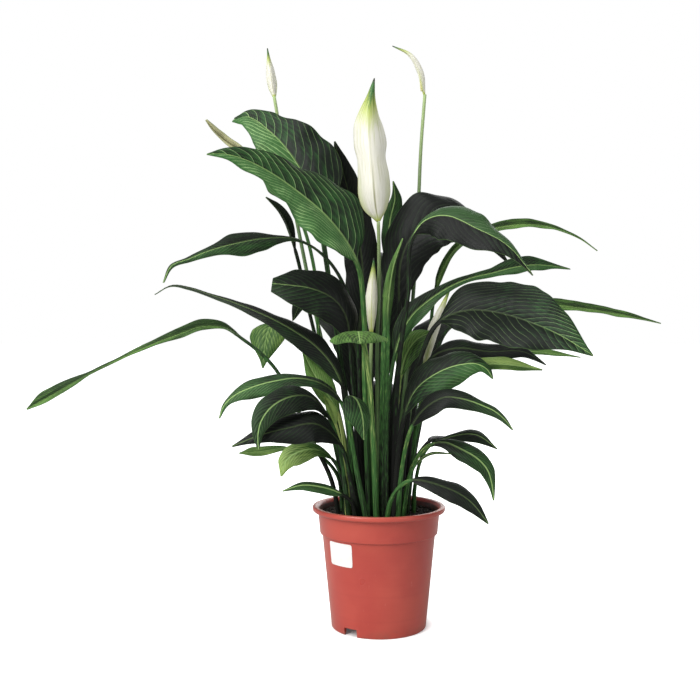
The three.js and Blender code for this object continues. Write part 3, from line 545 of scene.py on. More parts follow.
# How well lit each leaf looks, where 0 is in shade and 1 is fully lit: its left half, its right half and
# its stem, as seen with the tip upwards, and how much more its tip is than its middle. A slot's values are
# for the leaves of that slot that have no row of their own.
LEAF_LIGHT = {
    "leaf_dark": (0.08, 0.08, 0.10, 0.12),
    "leaf_mid": (0.50, 0.42, 0.30, 0.10),
    "leaf_veined": (0.70, 0.50, 0.40, 0.00),
    "leaf_light": (0.62, 0.55, 0.60, 0.10),
    "leaf_pale": (0.25, 0.18, 0.60, 0.05),
    "leaf_dry": (0.70, 0.40, 0.50, 0.00),
    "leaf_upper_left_front": (0.90, 0.34, 0.55, 0.05),
    "leaf_upper_left_back": (0.80, 0.16, 0.20, 0.25),
    "leaf_upper_left_dark": (-0.05, -0.05, 0.00, 0.00),
    "leaf_left_high_arch": (0.32, 0.06, 0.08, 0.30),
    "leaf_left_folded": (0.10, 0.00, 0.10, 0.35),
    "leaf_left_flat_dark": (0.20, 0.05, 0.00, 0.00),
    "leaf_left_long": (0.42, 0.08, 0.25, 0.10),
    "leaf_left_pale_hanging": (0.22, 0.16, 0.40, 0.00),
    "leaf_left_small_streaked": (1.20, 0.80, 1.20, 0.00),
    "leaf_low_left_high": (0.42, 0.30, 0.55, 0.45),
    "leaf_low_left_arch": (0.25, 0.15, 0.55, 0.45),
    "leaf_low_left_broad": (0.00, 0.00, 0.35, 0.25),
    "leaf_low_left_hanging": (0.45, 0.40, 0.50, 0.55),
    "leaf_left_sheath": (1.40, 1.20, 1.30, 0.00),
    "leaf_front_hanging": (0.45, 0.35, 0.60, 0.20),
    "leaf_front_folded": (0.52, 0.38, 0.75, 0.00),
    "leaf_centre_young": (0.55, 0.22, 0.45, 0.10),
    "leaf_right_top_dark": (0.00, -0.05, 0.00, 0.00),
    "leaf_right_front_arch": (0.90, -0.05, 0.05, 0.10),
    "leaf_right_narrow_high": (0.30, 0.75, 0.30, 0.00),
    "leaf_right_long_arch": (0.25, 0.60, 0.30, 0.10),
    "leaf_right_broad": (0.10, -0.06, 0.02, 0.42),
    "leaf_right_under_dark": (0.10, 0.00, 0.00, 0.00),
    "leaf_right_under_olive": (0.75, 0.20, 0.50, 0.00),
    "leaf_right_ribbon": (0.28, 0.62, 0.10, 0.00),
    "leaf_right_inner_green": (0.75, 0.35, 0.85, 0.00),
    "leaf_low_right_high": (0.05, 0.50, 0.10, 0.45),
    "leaf_low_right_arch": (0.15, 0.20, 0.75, 0.65),
    "leaf_low_right_flat": (0.30, 0.12, 0.80, 0.25),
    "leaf_low_right_hanging": (0.40, 0.28, 0.85, 0.35),
    "leaf_low_right_sliver": (0.40, 0.30, 0.80, 0.00),
    "leaf_lowest_right": (0.02, 0.04, 0.80, 0.25),
}
# How far each half's veins lean to the tip at the midrib, where it isn't as usual for the leaf's width.
VEIN_LEAN = {
    "leaf_upper_left_front": (2.6, 1.0),
    "leaf_upper_left_back": (1.9, 0.8),
    "leaf_right_broad": (2.3, 1.1),
}


def leaf_rows(centres):
    """Where the fine rows lie along a leaf, and where its blade starts."""
    knots = lengths_along(centres[:, 1])
    start = knots[STEM_RINGS]
    stem_rows = max(FEWEST_STEM_ROWS, round(start / STEM_ROW))
    blade_rows = max(FEWEST_BLADE_ROWS, round((knots[-1] - start) / BLADE_ROW))
    stem = np.linspace(0.0, start, stem_rows, endpoint=False)
    return knots, start, np.concatenate([stem, np.linspace(start, knots[-1], blade_rows)])


def cosine_columns():
    """Shares of the half width from left margin (-1) to right (1), closer at rib and margins."""
    half = (1 - np.cos(np.pi * np.arange(HALF_COLUMNS + 1) / HALF_COLUMNS)) / 2
    return np.concatenate([-half[:0:-1], half])


def vein_lean(half_width):
    """Narrow leaves have veins that run along them, wide ones have veins that spread."""
    return 0.8 + 20 * MM / half_width


def wavy(along, turn, waves):
    return sum(height * np.sin(along / length + times * turn) for height, length, times in waves)


def leaf_section(rows, stem_r, bladed, share, name):
    """The upper and lower points of a leaf, row by row, and the numbers its material reads."""
    left, middle, right = rows[:, 0], rows[:, 1], rows[:, 2]
    ahead = unit(np.gradient(middle, axis=0))
    to_left, to_right = left - middle, right - middle
    half_left = np.linalg.norm(to_left, axis=1)
    half_right = np.linalg.norm(to_right, axis=1)
    up_left, up_right = unit(np.cross(ahead, to_left)), unit(np.cross(to_right, ahead))
    up_middle = unit(up_left + up_right)
    across = unit(np.cross(ahead, up_middle))

    s = cosine_columns()
    u = np.abs(s)
    on_left = s < 0
    side = np.where(on_left[None, :, None], to_left[:, None], to_right[:, None])
    half = np.where(on_left[None, :], half_left[:, None], half_right[:, None])
    side_up = np.where(on_left[None, :, None], up_left[:, None], up_right[:, None])
    up = unit(mixed(up_middle[:, None], side_up, smoothstep(0.0, 0.3, u)[None, :, None]))

    along = lengths_along(middle)[:, None]
    rng = random_for(name)
    turn = np.where(on_left, *rng.uniform(0, 2 * np.pi, 2))
    drift = wavy(along, turn, VEIN_DRIFT)
    widest = half_right.max()
    spacing = VEIN_GAP + VEIN_GAP_GROWTH * widest
    lean = np.where(on_left, *VEIN_LEAN.get(name, (vein_lean(widest),) * 2))
    phase = (along - half * (lean * u + VEIN_BEND * u**2)) / spacing + drift + 0.5 * on_left
    swell = bladed[:, None] * half
    arch = ARCH * swell * 4 * u * (1 - u)
    wave = WAVE * swell * u**3 * wavy(along, turn, MARGIN_WAVES)
    puff = PUFF * spacing * bladed[:, None] * (1 - u**6) * np.abs(np.sin(np.pi * phase))
    puff = puff * smoothstep(0.0, 0.12, u)
    bites = BITE * bladed[:, None] * u**4 * wavy(along, turn, MARGIN_BITES)
    side = side * (1.0 + bites)[..., None]
    sheet = middle[:, None] + side * u[None, :, None] + up * (arch + wave + puff)[..., None]
    thick = SHEET_THICK * mixed(1.0, MARGIN_THINNING, u**4)[None, :] / 2
    rib_r = stem_r * mixed(*RIB_RADII, share)
    rib = rib_r[:, None] * np.exp(-((u * half / (RIB_WIDTH * rib_r[:, None])) ** 2))
    flat_top = sheet + up * (thick + RIB_ABOVE * rib)[..., None]
    flat_back = sheet - up * (thick + RIB_BELOW * rib)[..., None]

    angle = ROUND_REACH * s
    aside = across[:, None] * (stem_r[:, None] * np.sin(angle))[..., None]
    rise = stem_r[:, None] * np.cos(angle)
    groove = GROOVE * stem_r[:, None] * np.exp(-((s / GROOVE_SPREAD) ** 2))
    round_top = middle[:, None] + aside + up_middle[:, None] * (rise - groove)[..., None]
    round_back = middle[:, None] + aside - up_middle[:, None] * rise[..., None]

    b = bladed[:, None, None]
    top, back = mixed(round_top, flat_top, b), mixed(round_back, flat_back, b)
    from_rib = u * half / mixed(*RIB_SPREAD, share)[:, None]
    lines = np.stack([phase, from_rib, (1 - u) * half], axis=2)
    return top, back, lines, on_left


def make_leaf(node):
    centres, thick = strip_of(node, RING_POINTS)
    knots, start, places = leaf_rows(centres)
    rows = strip_through(centres, 1, knots, places)
    stem_r = through(thick[:, 1] / 2, knots, places, calm=True)
    share = np.clip((places - start) / (knots[-1] - start), 0.0, 1.0)
    half = np.linalg.norm(rows[:, 2] - rows[:, 1], axis=1)
    bladed = smoothstep(*STEM_TO_BLADE, half / stem_r)
    bladed = np.where(share > SURELY_BLADE, 1.0, bladed)
    stem_r = mixed(stem_r, stem_r[places <= start][-1] * STEM_UNDER_BLADE, bladed)
    top, back, lines, on_left = leaf_section(rows, stem_r, bladed, share, node)

    count = 2 * top.shape[1]
    vertices = both_faces(top, back).reshape(-1, 3)
    slot = SLOT_OF[node]
    made = make_object(node + "_live", vertices, grid_faces(len(places), count), MATERIALS[slot])
    outward(made)

    left, right, stem, tipward = LEAF_LIGHT.get(node, LEAF_LIGHT[slot])
    in_blade = np.where(on_left, left, right)[None, :] + tipward * (2 * share[:, None] - 1)
    lit = mixed(stem, in_blade, bladed[:, None])
    in_leaf = np.repeat(bladed[:, None], count, axis=1)
    upper = both_faces(np.ones_like(lit), np.zeros_like(lit))
    add_vectors(made, "leaf_zone", np.stack([in_leaf, upper, both_faces(lit, lit)], axis=2))
    add_vectors(made, "leaf_lines", both_faces(lines, lines))
    dress(made, node)


# ---------------------------------------------------------------- flowers

SPATHE_ROWS, SPATHE_COLUMNS = 110, 25
SPATHE_THICK = 0.7 * MM
SPATHE_RIPPLE, SPATHE_RIPPLES = 0.02, 21.0  # the height in half widths, and radians from foot to tip
SPATHE_RIDGE, SPATHE_RIDGES = 0.12 * MM, 34.0  # the height, and radians over half the width
SPATHE_RIB, SPATHE_RIB_SPREAD = 0.5 * MM, 0.06  # the height, and the share of the half width
SPATHE_CREAM, SPATHE_OLIVE = colour(236, 233, 217), colour(184, 184, 136)
SPATHE_MIDLINE, SPATHE_FLUSH = colour(112, 110, 46), colour(176, 190, 80)
SPATHE_TIP, SPATHE_POINT = colour(48, 100, 42), colour(40, 46, 34)
SPADIX_ROUND, SPADIX_ALONG = 11, 17  # florets round a spadix and along it


def make_open_spathe(node):
    centres, _ = strip_of(node, SPATHE_POINTS)
    columns = centres.shape[1]
    middle = columns // 2
    knots = lengths_along(centres[:, middle])
    places = np.linspace(0.0, knots[-1], SPATHE_ROWS)
    rows = strip_through(centres, middle, knots, places)
    across = np.linspace(-1.0, 1.0, SPATHE_COLUMNS)
    sheet = through(rows.swapaxes(0, 1), np.linspace(-1, 1, columns), across).swapaxes(0, 1)
    ahead, aside = np.gradient(sheet, axis=0), np.gradient(sheet, axis=1)
    up = unit(np.cross(aside, ahead))
    share = (places / knots[-1])[:, None]
    half = np.linalg.norm(rows[:, -1] - rows[:, 0], axis=1)[:, None] / 2
    across = across[None, :]
    u = np.abs(across)
    ripple = SPATHE_RIPPLE * half * u**2 * np.sin(share * SPATHE_RIPPLES + across)
    ridges = SPATHE_RIDGE * np.cos(across * SPATHE_RIDGES) * (1 - u)
    sheet = sheet + up * (ripple + ridges)[..., None]
    thick = SPATHE_THICK * mixed(1.0, MARGIN_THINNING, u**3) / 2
    rib = SPATHE_RIB * np.exp(-((across / SPATHE_RIB_SPREAD) ** 2)) * (1 - share)
    top, back = sheet + up * thick[..., None], sheet - up * (thick + rib)[..., None]
    faces = grid_faces(SPATHE_ROWS, 2 * SPATHE_COLUMNS)
    made = make_object(node + "_live", both_faces(top, back).reshape(-1, 3), faces, MATERIALS["spathe"])
    outward(made)
    add_places(made, both_faces(across, across), share)
    dress(made, node)


def closed_spathe_shape(share, angle):
    """One margin wraps over the other in a slow spiral."""
    seam = (angle / (2 * np.pi) + 0.55 * share) % 1.0
    return 0.93 + 0.13 * seam + 0.015 * np.cos(9 * angle)


def stalk_shape(_, angle):
    """Low ribs all the way."""
    return 1.0 + 0.03 * np.cos(7 * angle)


def spadix_shape(share, angle):
    """Small florets in a spiral lattice."""
    across, up = SPADIX_ROUND * angle / (2 * np.pi), SPADIX_ALONG * share
    return 1.0 + 0.09 * np.abs(np.sin(np.pi * (across + up)) * np.sin(np.pi * (across - up)))


# The round pieces: rows along, columns round, the slot, and the radius factor at each place.
ROUND_PIECES = {
    "stalk": (60, 20, "flower_stalk", stalk_shape),
    "spadix": (90, 72, "spadix", spadix_shape),
    "closed spathe": (90, 40, "spathe", closed_spathe_shape),
}


def make_round(node, kind):
    """A round piece through its node's rings."""
    rows, columns, slot, shape = ROUND_PIECES[kind]
    centres, thick = strip_of(node, RING_POINTS)
    axis = centres[:, centres.shape[1] // 2]
    knots = lengths_along(axis)
    places = np.linspace(0.0, knots[-1], rows)
    line = through(axis, knots, places)
    radius = through(thick[:, thick.shape[1] // 2] / 2, knots, places, calm=True)
    ahead = unit(np.gradient(line, axis=0))
    aside = unit(np.cross(ahead, np.array([0.0, -1.0, 0.0])))
    front = np.cross(aside, ahead)
    angle = np.linspace(0.0, 2 * np.pi, columns, endpoint=False)
    share = (places / knots[-1])[:, None]
    reach = radius[:, None] * shape(share, angle[None, :])
    vertices = (
        line[:, None]
        + aside[:, None] * (reach * np.sin(angle))[..., None]
        + front[:, None] * (reach * np.cos(angle))[..., None]
    ).reshape(-1, 3)
    made = make_object(node + "_live", vertices, grid_faces(rows, columns), MATERIALS[slot])
    outward(made)
    add_places(made, np.abs(angle / np.pi - 1.0)[None, :], share)
    dress(made, node)


def spathe_material():
    g = Graph("spathe")
    where = g.place()
    across, share, _ = g.three("flower_place")
    from_middle = g.math("ABSOLUTE", across)
    lengthwise = g.vector(g.times(across, 9.0), g.times(share, 1.6), 0.0)
    streaks = g.noise(lengthwise, 2.6, 4.0, 0.62)
    fine = g.noise(g.vector(g.times(across, 60.0), g.times(share, 5.0), 0.0), 1.0, 3.0)
    low = g.fade(share, 0.50, 0.05)

    base = g.mix(g.times(g.fade(streaks, 0.48, 0.66), 0.55), SPATHE_CREAM, SPATHE_OLIVE)
    base = g.mix(g.times(g.fade(fine, 0.5, 0.75), 0.28), base, SPATHE_OLIVE)
    middle = g.times(g.fade(from_middle, 0.11, 0.0), g.plus(0.30, g.times(low, 0.6)))
    base = g.mix(middle, base, SPATHE_MIDLINE)
    edge = g.plus(g.fade(from_middle, 0.97, 1.0), g.times(g.fade(from_middle, 0.50, 0.95), low))
    base = g.mix(g.times(edge, 0.6), base, SPATHE_FLUSH)
    uneven = g.times(g.plus(streaks, -0.5), 0.45)
    flush = g.plus(g.plus(share, uneven), g.times(from_middle, -0.10))
    base = g.mix(g.fade(flush, 0.54, 0.80), base, SPATHE_FLUSH)
    base = g.mix(g.fade(flush, 0.74, 0.86), base, SPATHE_TIP)
    base = g.mix(g.fade(share, 0.95, 0.99), base, SPATHE_POINT)
    base = g.mix(g.fade(share, 0.07, 0.0), base, SPATHE_FLUSH)
    relief = g.plus(g.times(fine, 0.5), g.times(g.noise(where, 900.0), 0.2))
    return g.finish(
        Base_Color=base,
        Roughness=g.fade(fine, 0.2, 0.8, 0.42, 0.58),
        Normal=g.bump(relief, 0.25 * MM, 0.7),
        Subsurface_Weight=0.22,
        Subsurface_Radius=(1.0, 1.0, 0.8),
        Subsurface_Scale=0.006,
    )


def stalk_material():
    g = Graph("flower_stalk")
    around, share, _ = g.three("flower_place")
    lengthwise = g.vector(g.times(around, 14.0), g.times(share, 7.0), 0.0)
    fibres = g.noise(lengthwise, 1.5, 3.0)
    base = g.mix(g.fade(fibres, 0.3, 0.75), colour(44, 72, 38), colour(108, 140, 78))
    base = g.mix(g.fade(g.plus(share, g.times(fibres, 0.1)), 0.70, 1.10), base, colour(160, 182, 120))
    return g.finish(
        Base_Color=base,
        Roughness=g.fade(fibres, 0.2, 0.8, 0.36, 0.5),
        Normal=g.bump(fibres, 0.3 * MM, 0.6),
    )


def spadix_material():
    g = Graph("spadix")
    where = g.place()
    florets = g.cells(where, 900.0)
    base = g.mix(g.fade(florets, 0.1, 0.6), colour(232, 226, 178), colour(196, 192, 122))
    base = g.mix(g.fade(g.noise(where, 120.0), 0.4, 0.7), base, colour(214, 214, 150))
    return g.finish(
        Base_Color=base,
        Roughness=g.fade(florets, 0.0, 0.7, 0.55, 0.8),
        Normal=g.bump(florets, 0.4 * MM, 0.7),
    )


# ---------------------------------------------------------------- pot

_, POT_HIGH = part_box("pot")
POT_HEIGHT = POT_HIGH.z
RIM_R = POT_HIGH.x
STEP_Z = 120 * MM
COLLAR_TOP_R, COLLAR_LOW_R = 78 * MM, 75.4 * MM
BODY_TOP_R, FOOT_R = 72.6 * MM, 60.6 * MM
WALL = 1.8 * MM
LIP = 7 * MM
FOOT_RING = 2.6 * MM
BASE_UNDER, BASE_THICK = 9 * MM, 2 * MM
PAD_R = 12 * MM
POT_SEGMENTS = 192
NOTCH_ANGLES = (-127, 53)
NOTCH_WIDTH, NOTCH_HEIGHT = 19 * MM, 10 * MM
NOTCH_REACH = 14 * MM  # across the foot, from inside its ring to outside
DRAINS, DRAIN_R, DRAIN_RING_R = 6, 5 * MM, 38 * MM


def body_r(z):
    return mixed(FOOT_R, BODY_TOP_R, z / STEP_Z)


def rounded(start, corner, end, steps=4):
    """Points on the smooth bend that a corner between two profile points makes."""
    a, c, e = (np.array(p) for p in (start, corner, end))
    shares = np.linspace(0.0, 1.0, steps + 1)
    return [tuple((1 - t) ** 2 * a + 2 * t * (1 - t) * c + t**2 * e) for t in shares]


def pot_profile():
    """Radius and height from the middle of the underside, out, up, over the lip and back down inside."""
    lip_z = POT_HEIGHT - LIP
    ring_in = FOOT_R - FOOT_RING
    inner_floor = BASE_UNDER + BASE_THICK
    tiny = 0.6 * MM
    return [
        (0.0, 0.0), (PAD_R, 0.0), (PAD_R + 1.5 * MM, BASE_UNDER),
        (ring_in - 2.2 * MM, BASE_UNDER),
        *rounded((ring_in - 1.2 * MM, BASE_UNDER - tiny), (ring_in - tiny, 0.0), (ring_in, 0.0), 2),
        (FOOT_R - 1.6 * MM, 0.0),
        *rounded((FOOT_R - 1.2 * MM, 0.0), (body_r(0), 0.0), (body_r(1.6 * MM), 1.6 * MM), 3),
        (body_r(STEP_Z * 0.34), STEP_Z * 0.34), (body_r(STEP_Z * 0.67), STEP_Z * 0.67),
        *rounded((body_r(STEP_Z) - 0.2 * MM, STEP_Z - 2 * tiny), (BODY_TOP_R, STEP_Z),
                 (BODY_TOP_R + tiny, STEP_Z), 2),
        *rounded((COLLAR_LOW_R - 2 * tiny, STEP_Z), (COLLAR_LOW_R, STEP_Z),
                 (COLLAR_LOW_R + 0.1 * MM, STEP_Z + 2 * tiny), 3),
        (mixed(COLLAR_LOW_R, COLLAR_TOP_R, 0.5), mixed(STEP_Z, lip_z, 0.5)),
        *rounded((COLLAR_TOP_R - 0.2 * MM, lip_z - 2.5 * MM), (COLLAR_TOP_R, lip_z),
                 (COLLAR_TOP_R + 2.5 * MM, lip_z + 0.2 * MM), 4),
        *rounded((RIM_R - 2.4 * MM, lip_z + 0.3 * MM), (RIM_R, lip_z + 0.3 * MM),
                 (RIM_R, lip_z + 3 * MM), 5),
        *rounded((RIM_R, POT_HEIGHT - 2.6 * MM), (RIM_R, POT_HEIGHT),
                 (RIM_R - 2.6 * MM, POT_HEIGHT), 5),
        *rounded((COLLAR_TOP_R + 2.5 * MM, POT_HEIGHT - 0.3 * MM), (COLLAR_TOP_R, POT_HEIGHT - 0.4 * MM),
                 (COLLAR_TOP_R - WALL, lip_z + 2 * MM), 4),
        (COLLAR_LOW_R - WALL, STEP_Z + 1.5 * MM), (BODY_TOP_R - WALL, STEP_Z - 1.2 * MM),
        (body_r(inner_floor) - WALL, inner_floor + tiny),
        (body_r(inner_floor) - WALL - tiny, inner_floor),
        (0.0, inner_floor),
    ]


def lathe(name, profile, segments, material):
    """A closed lathe: its profile starts and ends on the axis."""
    angles = np.linspace(0.0, 2 * np.pi, segments, endpoint=False)
    ring = np.stack([np.cos(angles), np.sin(angles)], axis=1)
    inner = profile[1:-1]
    vertices = [(r * x, r * y, z) for r, z in inner for x, y in ring]
    first, last = len(vertices), len(vertices) + 1
    vertices += [(0.0, 0.0, profile[0][1]), (0.0, 0.0, profile[-1][1])]
    faces = band_faces(len(inner), segments)
    end = (len(inner) - 1) * segments
    for i in range(segments):
        faces.append((first, (i + 1) % segments, i))
        faces.append((last, end + i, end + (i + 1) % segments))
    return make_object(name, vertices, faces, material)


def cutter(build, place, turn):
    """A solid to cut away, made by a bmesh operator."""
    built = bmesh.new()
    build(built)
    built.transform(Matrix.Rotation(math.radians(turn), 4, "Z") @ Matrix.Translation(place))
    return mesh_of(built, "cutter")


def pot_cutters():
    """One mesh of the notches in the foot and the drain holes in the base."""
    size = Matrix.Diagonal((NOTCH_REACH, NOTCH_WIDTH, 2 * NOTCH_HEIGHT, 1.0))
    pieces = [
        cutter(lambda b: bmesh.ops.create_cube(b, size=1.0, matrix=size),
               (FOOT_R - 3 * MM, 0.0, -0.2 * MM), angle)
        for angle in NOTCH_ANGLES
    ]
    for i in range(DRAINS):
        pieces.append(cutter(
            lambda b: bmesh.ops.create_cone(b, cap_ends=True, segments=32, radius1=DRAIN_R,
                                            radius2=DRAIN_R, depth=3 * BASE_THICK),
            (DRAIN_RING_R, 0.0, BASE_UNDER + BASE_THICK / 2),
            360 * (i + 0.5) / DRAINS,
        ))
    joined = bmesh.new()
    for piece in pieces:
        joined.from_mesh(piece)
    return mesh_of(joined, "pot_cutters")


def make_pot():
    whole = lathe("pot_whole", pot_profile(), POT_SEGMENTS, MATERIALS["pot_plastic"])
    outward(whole)
    tool = in_scene("pot_cutters", pot_cutters())
    cut = whole.modifiers.new("cut", "BOOLEAN")
    cut.operation, cut.object, cut.solver = "DIFFERENCE", tool, "EXACT"
    bpy.context.view_layer.update()
    graph = bpy.context.evaluated_depsgraph_get()
    mesh = bpy.data.meshes.new_from_object(whole.evaluated_get(graph))
    for spare in (whole, tool):
        bpy.data.objects.remove(spare)
    made = in_scene("pot_shell", mesh)
    mesh.shade_smooth()
    mesh.set_sharp_from_angle(angle=math.radians(38))
    dress(made, "pot")


def plastic_material():
    g = Graph("pot_plastic")
    where = g.place()
    _, _, height = g.split(where)
    clouds = g.noise(where, 14.0, 3.0)
    bands = g.noise(g.vector(0.0, 0.0, height), 160.0, 3.0)
    specks = g.noise(where, 2200.0, 2.0)
    stretched = g.add("ShaderNodeMapping", {"Vector": where, "Scale": (260.0, 260.0, 40.0)})
    scuffs = g.fade(g.noise(stretched, 1.0, 4.0, 0.7), 0.66, 0.74)
    base = g.mix(g.fade(clouds, 0.3, 0.7), colour(176, 66, 56), colour(188, 78, 64))
    base = g.mix(g.times(g.fade(bands, 0.45, 0.8), 0.25), base, colour(162, 60, 54))
    base = g.mix(g.times(scuffs, 0.22), base, colour(226, 158, 138))
    dust = g.times(g.fade(height, 14 * MM, 2 * MM), g.fade(g.noise(where, 60.0, 4.0), 0.4, 0.7))
    base = g.mix(g.times(dust, 0.35), base, colour(120, 82, 66))
    lip = g.times(g.fade(height, POT_HEIGHT - 1.6 * MM, POT_HEIGHT - 0.3 * MM), 0.5)
    base = g.mix(lip, base, colour(128, 74, 60))
    # Painted shade and soil stains on the pot's inner wall, from the step up to just under the lip.
    outer = g.fade(height, STEP_Z, POT_HEIGHT, COLLAR_LOW_R, COLLAR_TOP_R)
    depth = g.plus(outer, g.times(g.from_axis(where), -1.0))
    inside = g.fade(depth, 0.5 * WALL, 0.9 * WALL)
    above_base = g.fade(height, STEP_Z, STEP_Z + 5 * MM)
    below_lip = g.fade(height, POT_HEIGHT - 2 * MM, POT_HEIGHT - 6 * MM)
    patches = g.fade(g.noise(where, 90.0, 4.0), 0.25, 0.6, 0.72, 0.96)
    inner_wall_shade_and_soil = g.times(g.times(inside, above_base), g.times(below_lip, patches))
    base = g.mix(inner_wall_shade_and_soil, base, colour(52, 38, 32))
    relief = g.plus(g.times(bands, 0.5), g.times(specks, 0.12))
    return g.finish(
        Base_Color=base,
        Roughness=g.plus(g.fade(clouds, 0.2, 0.8, 0.26, 0.36), g.times(scuffs, 0.18)),
        Normal=g.bump(relief, 0.2 * MM, 0.5),
        Specular_IOR_Level=0.5,
        Sheen_Weight=0.22,
        Sheen_Roughness=0.35,
        Sheen_Tint=colour(250, 214, 180),
    )


# ---------------------------------------------------------------- label

LABEL_LOW, LABEL_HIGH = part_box("pot_label")
LABEL_WIDTH = 37 * MM
LABEL_CORNER = 2.8 * MM
LABEL_COLUMNS, LABEL_ROWS = 40, 32
LABEL_LIFT, LABEL_THICK = 0.2 * MM, 0.25 * MM
LABEL_RUFFLE, RUFFLES = 0.12 * MM, 90  # its height, and how many to the metre
PEEL, PEEL_FROM, PEEL_HEIGHT = 0.7 * MM, 0.7, 8 * MM  # at one low corner: how far, from where, how high up


def label_place(x, z, lift):
    """A point on the pot's body, x along its curve from the label's middle line."""
    middle = (LABEL_LOW + LABEL_HIGH) / 2
    turn = math.atan2(middle.y, middle.x) + x / body_r(middle.z)
    r = body_r(z) + lift
    return (r * math.cos(turn), r * math.sin(turn), z)


def make_label():
    """A thin sticker with round corners, a little loose at one corner."""
    half = LABEL_WIDTH / 2
    low, high = LABEL_LOW.z, LABEL_HIGH.z
    top, back = [], []
    for i in range(LABEL_COLUMNS + 1):
        x = half * math.sin(math.pi * (i / LABEL_COLUMNS - 0.5))
        inset = max(0.0, abs(x) - (half - LABEL_CORNER))
        trim = LABEL_CORNER - math.sqrt(max(LABEL_CORNER**2 - inset**2, 0.0))
        for j in range(LABEL_ROWS + 1):
            z = mixed(low + trim, high - trim, j / LABEL_ROWS)
            ruffle = noise.noise(Vector((x * RUFFLES, z * RUFFLES, 3.0))) * LABEL_RUFFLE
            upward = max(0.0, (low + PEEL_HEIGHT - z) / PEEL_HEIGHT)
            peel = PEEL * max(0.0, x / half - PEEL_FROM) * upward
            top.append(label_place(x, z, LABEL_LIFT + LABEL_THICK + ruffle + peel))
            back.append(label_place(x, z, LABEL_LIFT + ruffle + peel))
    side = LABEL_ROWS + 1
    total = len(top)
    faces = []
    for i in range(LABEL_COLUMNS):
        for j in range(LABEL_ROWS):
            a = i * side + j
            faces.append((a, a + side, a + side + 1, a + 1))
            faces.append((total + a, total + a + 1, total + a + side + 1, total + a + side))
    rim = [i * side for i in range(LABEL_COLUMNS + 1)]
    rim += [LABEL_COLUMNS * side + j for j in range(1, side)]
    rim += [i * side + LABEL_ROWS for i in range(LABEL_COLUMNS - 1, -1, -1)]
    rim += range(LABEL_ROWS - 1, 0, -1)
    for a, b in zip(rim, rim[1:] + rim[:1]):
        faces.append((a, b, total + b, total + a))
    made = make_object("pot_label_paper", top + back, faces, MATERIALS["label_paper"])
    outward(made)
    made.data.set_sharp_from_angle(angle=math.radians(50))
    dress(made, "pot_label")


def paper_material():
    g = Graph("label_paper")
    where = g.place()
    fibres = g.noise(where, 1500.0, 4.0, 0.65)
    stains = g.noise(where, 60.0, 3.0)
    base = g.mix(g.fade(stains, 0.35, 0.75), colour(246, 246, 244), colour(232, 230, 224))
    base = g.mix(g.times(g.fade(fibres, 0.55, 0.8), 0.3), base, colour(220, 218, 212))
    return g.finish(
        Base_Color=base,
        Roughness=g.fade(fibres, 0.2, 0.8, 0.5, 0.72),
        Normal=g.bump(fibres, 0.08 * MM, 0.6),
    )


# ---------------------------------------------------------------- potting mix

MIX_LOW, MIX_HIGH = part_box("soil")
MIX_RINGS, MIX_SPOKES = 70, 180
MIX_SINK, MIX_HEAP = 2.2 * MM, 3.0 * MM  # how far its top lies under the CAD's, and falls towards the wall
MIX_GAP = 1 * MM  # to the inside of the pot's wall
LUMP_HEIGHT, LUMPS = 2.1 * MM, 95  # a height, and how many to the metre
GRAIN_HEIGHT, GRAINS = 1.3 * MM, 420
CRUMBS = 420
CRUMB_SIZES = (0.7, 2.4)  # in millimetres


def mix_top(x, y):
    """The height of the mix: heaped a little, lumpy, and drawn down at the pot's wall."""
    r = math.hypot(x, y) / MIX_HIGH.x
    heap = -MIX_HEAP * r**2
    lumps = noise.fractal(Vector((x * LUMPS, y * LUMPS, 0.0)), 0.8, 2.2, 5) * LUMP_HEIGHT
    grains = abs(noise.noise(Vector((x * GRAINS, y * GRAINS, 7.0)))) * GRAIN_HEIGHT
    return MIX_HIGH.z - MIX_SINK + heap + lumps + grains


def mix_ring(built, r, height):
    """A ring of points. `height` gives each one's height from its place."""
    turns = [2 * math.pi * j / MIX_SPOKES for j in range(MIX_SPOKES)]
    places = [(r * math.cos(turn), r * math.sin(turn)) for turn in turns]
    return [built.verts.new((x, y, height(x, y))) for x, y in places]


def make_mix():
    """A lumpy top, closed by a plain wall and floor inside the pot, with loose crumbs pressed in."""
    top_r = MIX_HIGH.x - 0.6 * MM
    built = bmesh.new()
    rings = [mix_ring(built, top_r * (i / MIX_RINGS) ** 0.8, mix_top) for i in range(1, MIX_RINGS + 1)]
    wall = [(COLLAR_LOW_R, STEP_Z + 2 * MM), (BODY_TOP_R, STEP_Z - 2 * MM), (body_r(MIX_LOW.z), MIX_LOW.z)]
    rings += [mix_ring(built, r - WALL - MIX_GAP, lambda x, y, level=z: level) for r, z in wall]
    for inner, outer in zip(rings, rings[1:]):
        for j in range(MIX_SPOKES):
            k = (j + 1) % MIX_SPOKES
            built.faces.new((inner[j], outer[j], outer[k], inner[k]))
    crown = built.verts.new((0.0, 0.0, mix_top(0.0, 0.0)))
    base = built.verts.new((0.0, 0.0, MIX_LOW.z))
    for j in range(MIX_SPOKES):
        k = (j + 1) % MIX_SPOKES
        built.faces.new((crown, rings[0][j], rings[0][k]))
        built.faces.new((base, rings[-1][k], rings[-1][j]))
    rng = random_for("crumbs")
    for _ in range(CRUMBS):
        r, turn = top_r * 0.97 * math.sqrt(rng.uniform(0, 1)), rng.uniform(0, 2 * math.pi)
        add_crumb(built, r * math.cos(turn), r * math.sin(turn), rng)
    mesh = mesh_of(built, "potting_mix")
    mesh.materials.append(MATERIALS["potting_mix"])
    mesh.shade_smooth()
    made = in_scene("potting_mix", mesh)
    outward(made)
    dress(made, "soil")


